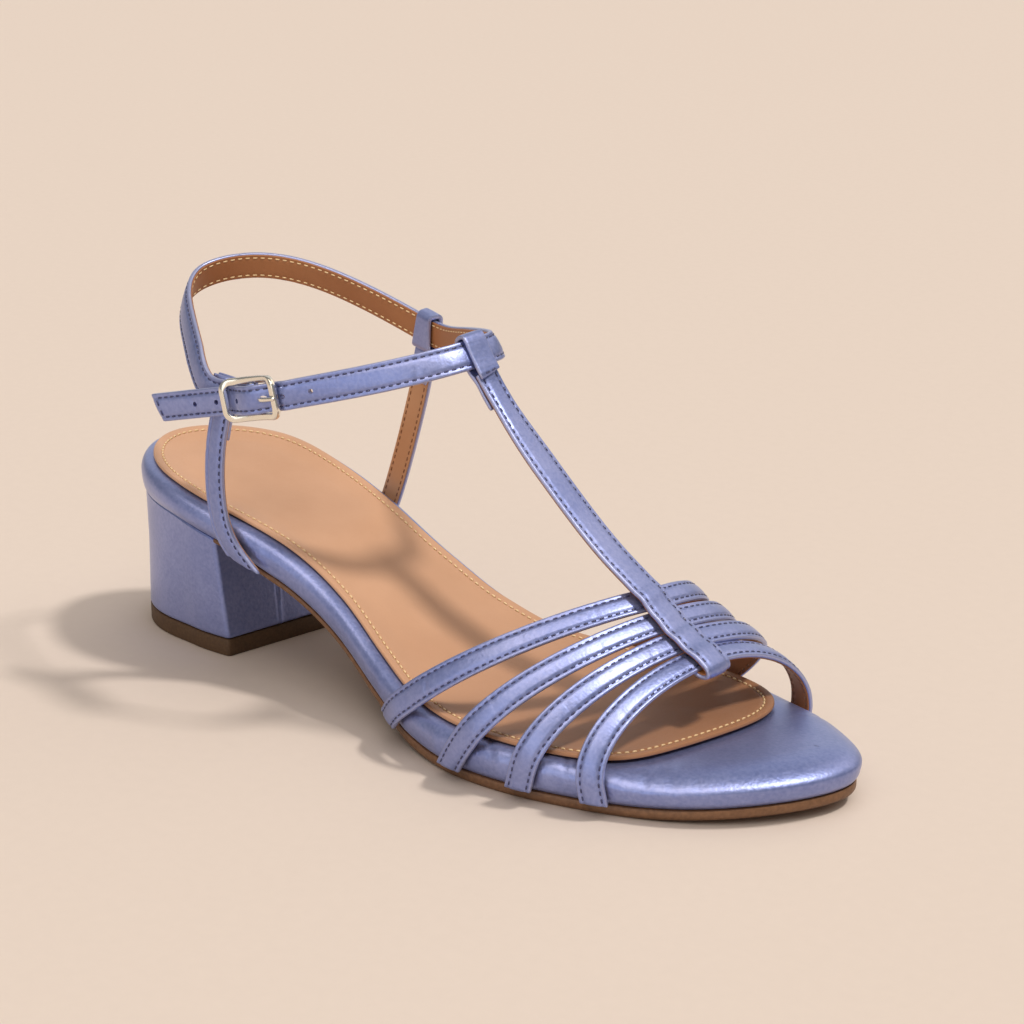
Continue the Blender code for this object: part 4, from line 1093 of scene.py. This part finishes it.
def buckle_axes():
    """Unit vectors at the buckle: along the strap to the toe, up its width, and outwards."""
    run = unit(BUCKLE_RUN)
    outward = np.array((0.0, -1.0, 0.0))
    outward = unit(outward - (outward @ run) * run)
    return run, np.cross(outward, run), outward


def at_buckle(rows):
    """Points given by run, lift and, where there is one, rise from the buckle's middle."""
    run, up, outward = buckle_axes()
    rows = np.array([(*row, 0.0)[:3] for row in rows])
    return BUCKLE_MIDDLE + rows[:, :1] * run + rows[:, 1:2] * outward + rows[:, 2:] * up


def ankle_route():
    """The ankle strap from the buckle's bar round the foot, through the buckle and to its slanted tail."""
    rows = np.array([row[1:] for row in ANKLE_STRAP])
    start, end = at_buckle([row[:3] for row in STRAP_START]), at_buckle(STRAP_END)
    points = np.concatenate([start, rows[:, :3], end])
    lean = np.concatenate([[row[3] for row in STRAP_START], rows[:, 3], np.zeros(len(end))])
    path, at = fine_path(points)
    lean = np.radians(np.interp(at, path_knots(points), lean))
    tangent = unit(np.gradient(path, axis=0))
    level = unit(np.array((0.0, 0.0, 1.0)) - tangent * tangent[:, 2:])
    across = level * np.cos(lean)[:, None] + np.cross(tangent, level) * np.sin(lean)[:, None]
    outward = np.cross(across, tangent)
    run = run_along(path)
    slant = 2 * TAIL_SLANT / ANKLE_WIDTH * smooth_step(run[-1] - 5.0, run[-1], run)
    return make_route(path, across + tangent * slant[:, None], ANKLE_WIDTH / 2, outward)


def loop_frames(route, place, width, count):
    """Middle, up and outward directions across a loop's width, following the ankle strap's bend."""
    near = route[np.argmin(np.linalg.norm(route[:, 1:4] - place, axis=1)), 0]
    at = near + width * np.linspace(-0.5, 0.5, count)
    table = read_rows(at, route[:, 0], route[:, 1:10])
    return table[:, 0:3], unit(table[:, 3:6]), unit(table[:, 6:9])


def rounded_ring(half_a, half_b, corner, steps):
    """Even points, outward normals and runs round a rectangle with round corners."""
    angle = (math.pi / 2 * (np.arange(4)[:, None] + np.linspace(0.0, 1.0, 9))).ravel()
    centre = np.repeat([(1, 1), (-1, 1), (-1, -1), (1, -1)], 9, axis=0) * (half_a - corner, half_b - corner)
    ring = centre + corner * np.column_stack([np.cos(angle), np.sin(angle)])
    ring = np.concatenate([ring, ring[:1]])
    run = run_along(ring)
    at = np.linspace(0.0, run[-1], steps + 1)[:-1]
    even = read_rows(at, run, ring)
    tangent = unit(np.roll(even, -1, axis=0) - np.roll(even, 1, axis=0))
    return even, np.column_stack([tangent[:, 1], -tangent[:, 0]]), at


def build_loop(name, route, place, width, node):
    """A strap loop round the ankle strap: a thin rounded section carried round a rounded rectangle."""
    stations = 21
    ring, normal, run = rounded_ring(LOOP_HALF_UP, LOOP_HALF_OUT, LOOP_CORNER, 96)
    share = np.linspace(-1.0, 1.0, stations)
    thick = LOOP_WALL / 2
    edge = np.sqrt(1.0 - np.clip((np.abs(share) - 0.88) / 0.12, 0.0, 1.0) ** 2) * 0.85 + 0.15
    face = thick * edge + 0.12 * (1.0 - share**2)
    back = -thick * edge
    across = np.concatenate([share, share[::-1]])
    lift = np.concatenate([face, back[::-1]])
    middle, up, out = loop_frames(route, place, width, stations)
    order = np.concatenate([np.arange(stations), np.arange(stations)[::-1]])
    a = ring[:, None, 0] + normal[:, None, 0] * lift
    b = ring[:, None, 1] + normal[:, None, 1] * lift
    points = middle[order] + a[..., None] * up[order] + b[..., None] * out[order]
    worn = smooth_step(0.8, 1.0, np.abs(across)) * 0.6
    places = np.stack(np.broadcast_arrays(run[:, None], across * width / 2, worn), -1)
    faces = grid_quads(*a.shape, wrap_rows=True)
    put_piece(f"{name}_loop_leather", points, faces, STRAP_LEATHER, [node], places)


def hanging_route(rows, across_way, place, width, ankle, foot_way=None, looped=True):
    """A strap that ends under its loop round the ankle strap, or runs on behind it to above its upper edge.

    Returns its middle line, its across directions and the ankle strap's outward direction.
    """
    middle, up, out = [table[1] for table in loop_frames(ankle, place, width, 3)]
    run = np.cross(up, out)
    if looped:
        ends = [middle - up * (LOOP_HALF_UP + 0.2) + out * LOOP_FORWARD]
    else:
        behind = middle - out * (STRAP_THICK + SEWN_GAP)
        ends = [behind + up * rise for rise in (-ANKLE_WIDTH / 2, 0.0, ANKLE_WIDTH / 2 + SEWN_OVER)]
    path, _ = fine_path(np.concatenate([rows, ends]))
    tangent = unit(np.gradient(path, axis=0))
    side = np.tile(np.asarray(across_way, float), (len(path), 1))
    length = run_along(path)
    turn = smooth_step(length[-1] - 14.0, length[-1], length)[:, None]
    side = side + turn * (run * np.sign(run @ side[0]) - side)
    side = unit(side - tangent * np.sum(side * tangent, axis=1)[:, None])
    if foot_way is not None:
        side = sheared(path, side, foot_way * np.sign(foot_way @ side[0]), True)
    return path, side, out


def build_t_turn(route, ankle):
    """The T strap's plain end: laid on its face, over the ankle strap, down behind it and along its back.

    Its middle line is a curve through points given up and out from the ankle strap's middle, then along the
    T strap's back. Returns the stitches across the lap.
    """
    middle, up, out = [table[1] for table in loop_frames(ankle, T_LOOP, T_TURN_WIDTH, 3)]
    total = route[-1, 0]
    face = STRAP_TOP + STRAP_CROWN + LOOP_WALL / 2
    back = -LINING_HEIGHT - LOOP_WALL / 2
    lap = on_route(route, total - np.array((LOOP_LAP, LOOP_LAP / 2)), 0.0, face)
    rising = [(-ANKLE_WIDTH / 2, 1.0), (0.0, 1.0), (LOOP_HALF_UP - 1.4, 1.0), (LOOP_HALF_UP - 0.4, 0.75)]
    falling = [(rise, -share) for rise, share in rising[::-1]]
    local = np.array(rising + [(LOOP_HALF_UP, 0.0)] + falling) * (1.0, LOOP_HALF_OUT)
    over = middle + local[:, :1] * up + local[:, 1:] * out
    down = on_route(route, total - np.array((2.5, 6.0, 10.0, RETURN_LENGTH)), 0.0, back)
    path, _ = fine_path(np.concatenate([lap, over, down]))
    run = np.cross(up, out)
    side = run * np.sign(run @ route[-1, 4:7])
    tangent = unit(np.gradient(path, axis=0))
    side = unit(side - tangent * (tangent @ side)[:, None])
    outward = np.cross(side, tangent)
    outward = outward * np.sign(outward[0] @ out)
    turn = make_route(path, side, T_TURN_WIDTH / 2, outward)
    low = -LOOP_WALL / 2
    strap_surface("t_strap_turn_leather", turn, STRAP_LEATHER, ["upper"], TURN_FACE, low)
    return cross_seam(turn, 0.75, TURN_FACE)


def build_upper(ankle):
    """Vamp straps with the T strap over them, folded under at the toe and looped round the ankle strap."""
    navy, brown = [], []
    for number, stations in enumerate(VAMP_STRAPS, 1):
        rows = dress_strap(f"vamp_strap_{number}", vamp_route(*stations), "upper")
        navy += rows[0]
        brown += rows[1]
    path, side, out = hanging_route(np.array(T_STRAP), (0, 1, 0), T_LOOP, T_TURN_WIDTH, ankle)
    tangent = unit(np.gradient(path, axis=0))
    facing = np.cross(side, tangent)
    facing = facing * np.sign(facing[-1] @ out)
    length = run_along(path)
    taper = smooth_step(length[-1] - T_TAPER, length[-1], length)
    route = make_route(path, side, (T_WIDTH - (T_WIDTH - T_TURN_WIDTH) * taper) / 2, facing)
    front = int(np.argmax(route[:, 1]))
    crossings = [route[front + np.argmin(np.abs(route[front:, 1] - row[1])), 0] for row in VAMP_STRAPS]
    fold_end = route[front, 0] + 2.5

    def swell(run):
        """0.34 mm humps where the T strap lies on a vamp strap, 0.12 mm dips between."""
        humps = sum(np.exp(-(((run - place) / 2.5) ** 2)) for place in crossings)
        first, last = min(crossings), max(crossings)
        near = smooth_step(first - 8.0, first, run) * smooth_step(last + 8.0, last, run)
        return 0.46 * humps - 0.12 * near

    rows = dress_strap("t_strap", route, "upper", start=fold_end, end=LOOP_LAP, lift=swell)
    navy += rows[0]
    brown += rows[1]
    navy.append(build_t_turn(route, ankle))
    put_stitches("upper_stitches", navy, NAVY_THREAD)
    put_stitches("upper_lining_stitches", brown, BROWN_THREAD)


def build_quarters(ankle):
    """Both quarter straps with their returned ends sewn down inside, and the loop of the inner one."""
    for name, rows, place, inner in (
        ("quarter_strap_outer", QUARTER_OUTER, at_buckle([OUTER_SEAM])[0], False),
        ("quarter_strap_inner", QUARTER_INNER, INNER_LOOP, True),
    ):
        rows = np.array(rows)
        rim = rim_way(rows[0, 0], inner)
        path, side, _ = hanging_route(rows, (1, 0, 0), place, QUARTER_WIDTH, ankle, rim, looped=inner)
        route = make_route(path, side, QUARTER_WIDTH / 2, (0.0, 1.0 if inner else -1.0, 0.0))
        navy, brown = dress_strap(name, route, name, lining=QUARTER_LINING_PAINTED_LIGHT)
        turned = RETURN_LENGTH
        if inner:
            build_loop(name, ankle, place, QUARTER_WIDTH, name)
        else:
            # Only the line on its toe side shows thread
            navy = navy[1:]
            turned += ANKLE_WIDTH
        back = route[route[:, 0] > route[-1, 0] - turned].copy()
        back[:, 1:4] -= back[:, 7:10] * RETURN_DROP
        back[:, 7:10] *= -1
        back[:, 0] -= back[0, 0]
        back[:, 10] -= RETURN_IN
        strap_surface(f"{name}_return_leather", back, STRAP_LEATHER, [name], RETURN_FACE, -RETURN_HALF)
        put_stitches(f"{name}_stitches", navy, NAVY_THREAD)
        put_stitches(f"{name}_lining_stitches", brown, BROWN_THREAD)


def build_ankle(ankle):
    """Ankle strap with punched holes, and its eye round the buckle's bar."""
    run, up, out = buckle_axes()
    tail = np.flatnonzero(ankle[:, 2] > 0.0)[-1]
    tail_run = (ankle[tail:, 1:4] - BUCKLE_MIDDLE) @ run
    *places, prong_place = np.interp(-np.array((*HOLE_RUNS, PRONG_HOLE_RUN)), -tail_run, ankle[tail:, 0])
    holes = [(place, *HOLE_SIZE) for place in places] + [(prong_place, *PRONG_HOLE_SIZE)]
    navy, brown = dress_strap("ankle_strap", ankle, "ankle_strap", 3.0, 1.6, holes)
    navy.append(cross_seam(ankle, ankle[-1, 0] - STITCH_IN - 0.2, STRAP_FACE))
    put_stitches("ankle_strap_stitches", navy, NAVY_THREAD)
    put_stitches("ankle_strap_lining_stitches", brown, CREAM_THREAD)
    steps = 48
    angle = np.linspace(0.0, 2 * math.pi, steps + 1)[:-1]
    circle = np.cos(angle)[:, None] * run + np.sin(angle)[:, None] * out
    wall = HINGE_RADIUS + HINGE_WALL / 2 * np.array((0.7, 1.0, 1.0, 0.7, -0.7, -1.0, -1.0, -0.7))
    faces = grid_quads(steps, len(wall), wrap_rows=True)
    edge = ANKLE_WIDTH / 2
    for half, low, high in (("lower", -edge, -EYE_GAP_HALF), ("upper", EYE_GAP_HALF, edge)):
        rise = np.array((low, low + 0.15, high - 0.15, high, high, high - 0.15, low + 0.15, low))
        points = BUCKLE_MIDDLE + wall[:, None] * circle[:, None] + rise[:, None] * up
        name = f"ankle_strap_eye_{half}"
        put_piece(name, points, faces, STRAP_LEATHER, ["ankle_strap"])


def tube(path, first, second, half_first, half_second, power=2.6, sides=20):
    """Superellipse section |x/a|^p + |y/b|^p = 1 carried along a path, as stations by points.

    The two directions and the two half sizes are given once or for each station.
    """
    angle = np.linspace(0.0, 2 * math.pi, sides + 1)[:-1]
    x = np.sign(np.cos(angle)) * np.abs(np.cos(angle)) ** (2 / power)
    y = np.sign(np.sin(angle)) * np.abs(np.sin(angle)) ** (2 / power)
    section = path[:, None]
    for shape, way, half in ((x, first, half_first), (y, second, half_second)):
        half = np.broadcast_to(half, len(path))[:, None, None]
        section = section + half * shape[:, None] * np.broadcast_to(way, path.shape)[:, None]
    return section


def tube_faces(section, closed):
    """Faces of a tube that meets itself, or that is shut at both ends."""
    rows, columns = section.shape[:2]
    faces = grid_quads(rows, columns, wrap_rows=closed).tolist()
    return faces if closed else faces + end_faces(rows, columns)


def build_buckle():
    """Bowed frame with its centre bar, and the prong hinged on it."""
    run, up, out = buckle_axes()
    half_run, half_up = (FRAME_LENGTH - FRAME_BAR) / 2, (FRAME_HEIGHT - FRAME_BAR) / 2
    ring, normal, _ = rounded_ring(half_run, half_up, FRAME_CORNER - FRAME_BAR / 2, 160)
    bow = FRAME_BOW * (ring[:, :1] / half_run) ** 2
    path = BUCKLE_MIDDLE + ring[:, :1] * run + ring[:, 1:] * up + bow * out
    aside = normal[:, :1] * run + normal[:, 1:] * up
    frame_tube = tube(path, aside, out, FRAME_FACE / 2, FRAME_DEEP / 2, 4.0)
    path = BUCKLE_MIDDLE + np.linspace(-half_up, half_up, 24)[:, None] * up
    bar_tube = tube(path, run, out, BAR_RADIUS, BAR_RADIUS, 2.0)
    path, _ = fine_path(at_buckle(PRONG), 0.25)
    share = run_along(path) / run_along(path)[-1]
    tip = np.sqrt(1.0 - ((share - 0.93) / 0.07).clip(0.0, 1.0) ** 2) * 0.8 + 0.2
    wide = PRONG_WIDTH / 2 * (1.0 - 0.2 * share) * tip
    face_way = np.cross(unit(np.gradient(path, axis=0)), up)
    prong_tube = tube(path, up, face_way, wide, PRONG_THICK / 2 * tip)
    angle = np.linspace(0.0, 2 * math.pi, 41)[:-1, None]
    circle = np.cos(angle) * run + np.sin(angle) * out
    path = BUCKLE_MIDDLE + HINGE_RADIUS * circle
    hinge_tube = tube(path, circle, up, HINGE_WALL / 2, PRONG_WIDTH / 2, 4.0)
    for name, section, closed, node in (
        ("buckle_frame_nickel", frame_tube, True, "buckle_frame"),
        ("buckle_bar_nickel", bar_tube, False, "buckle_frame"),
        ("buckle_prong_nickel", prong_tube, False, "buckle_prong"),
        ("buckle_hinge_nickel", hinge_tube, True, "buckle_prong"),
    ):
        put_piece(name, section, tube_faces(section, closed), NICKEL, [node])


# Stage
FLOOR_HALF = 8.0
WORLD_LIGHT = 0.20
# Lights: name, where it comes from, strength, width in degrees, colour, what it lights
LIGHTS = (
    ("key_on_shoe", (0.53, -0.07, 1.0), 2.15, 7.0, "#FFF5E6", "lit_shoe"),
    ("overhead_softbox", (0.00, -0.54, 0.82), 1.2, 40.0, "#FFECD4", "lit_shoe"),
    ("rear_softbox", (0.29, 0.73, 0.62), 0.45, 40.0, "#FFEEDC", "lit_shoe"),
    ("front_softbox", (0.05, -0.97, 0.12), 0.6, 45.0, "#FFFFFF", "lit_shoe"),
    ("back_wall", (-0.60, 0.73, 0.36), 0.5, 70.0, "#FFFFFF", "lit_shoe"),
    ("key_on_floor", (0.40, 0.42, 1.0), 1.4, 7.0, "#FFFFFF", "lit_floor"),
    ("rear_fill_on_floor", (0.10, 0.60, 0.80), 0.85, 80.0, "#FFFFFF", "lit_floor"),
    ("front_fill_on_floor", (0.20, -0.40, 0.90), 0.72, 60.0, "#FFFFFF", "lit_floor"),
)
# View: degrees round from the outer side and up, metres away, middle of the picture, lens and its sensor
VIEW_ROUND = 39.5
VIEW_UP = 19.5
VIEW_AWAY = 0.7634
VIEW_MIDDLE = np.array((129.5, 19.7, 52.9))
VIEW_LENS = 91.2
VIEW_SENSOR = 36.0


def build_floor():
    """Plain pale floor with a faint mottle."""
    made, tree, shader, spot = new_material("pale_studio_floor")
    colour = two_tone(tree, noise(tree, spot, 0.004, 6.0), "#E7D2C0", "#EBD6C4")
    feed(tree, shader, {"Base Color": colour, "Roughness": 0.9})
    mesh = bpy.data.meshes.new("floor")
    corners = [(x * FLOOR_HALF, y * FLOOR_HALF, 0.0) for x, y in ((-1, -1), (1, -1), (1, 1), (-1, 1))]
    mesh.from_pydata(corners, [], [(0, 1, 2, 3)])
    mesh.materials.append(made)
    floor = bpy.data.objects.new("floor", mesh)
    bpy.context.scene.collection.objects.link(floor)
    return floor


def point_at(thing, back):
    """Turns a light or camera so that it looks against `back`, with its top up."""
    back = unit(back)
    right = unit(np.cross((0.0, 0.0, 1.0), back))
    up = np.cross(back, right)
    thing.rotation_euler = (
        math.atan2(up[2], back[2]),
        math.atan2(-right[2], math.hypot(right[0], right[1])),
        math.atan2(right[1], right[0]),
    )


def build_lights(floor):
    """A key light and softboxes that light only the shoe, and another key with fills for the floor alone.

    The photo's shadows on the sock and on the floor do not agree with one light.
    """
    scene = bpy.context.scene
    scene.view_settings.view_transform = "Standard"
    world = bpy.data.worlds.new("studio")
    scene.world = world
    world.use_nodes = True
    tree = world.node_tree
    feed(tree, tree.nodes["Background"], {"Color": linear("#FFFFFF"), "Strength": WORLD_LIGHT})
    lit = {name: bpy.data.collections.new(name) for name in ("lit_shoe", "lit_floor")}
    for piece in scene.collection.objects:
        if piece.type == "MESH":
            lit["lit_floor" if piece == floor else "lit_shoe"].objects.link(piece)
    for name, towards, strength, width, colour, receivers in LIGHTS:
        sun = bpy.data.lights.new(name, "SUN")
        sun.energy = strength
        sun.angle = math.radians(width)
        sun.color = linear(colour)[:3]
        lamp = bpy.data.objects.new(name, sun)
        point_at(lamp, towards)
        scene.collection.objects.link(lamp)
        lamp.light_linking.receiver_collection = lit[receivers]


def build_camera():
    """The photo's view of the shoe's outer side, from the toe's side and a little above."""
    azimuth, elevation = math.radians(VIEW_ROUND), math.radians(VIEW_UP)
    level = math.cos(elevation)
    back = np.array((math.sin(azimuth) * level, -math.cos(azimuth) * level, math.sin(elevation)))
    lens = bpy.data.cameras.new("view")
    lens.lens = VIEW_LENS
    lens.sensor_width = VIEW_SENSOR
    camera = bpy.data.objects.new("view", lens)
    point_at(camera, back)
    camera.location = (VIEW_MIDDLE - SHOE_MIDDLE) * MM + back * VIEW_AWAY
    bpy.context.scene.collection.objects.link(camera)
    bpy.context.scene.camera = camera


build_footbed()
build_sock()
build_outsole()
build_heel()
ankle = ankle_route()
build_upper(ankle)
build_quarters(ankle)
build_ankle(ankle)
build_buckle()
build_lights(build_floor())
build_camera()
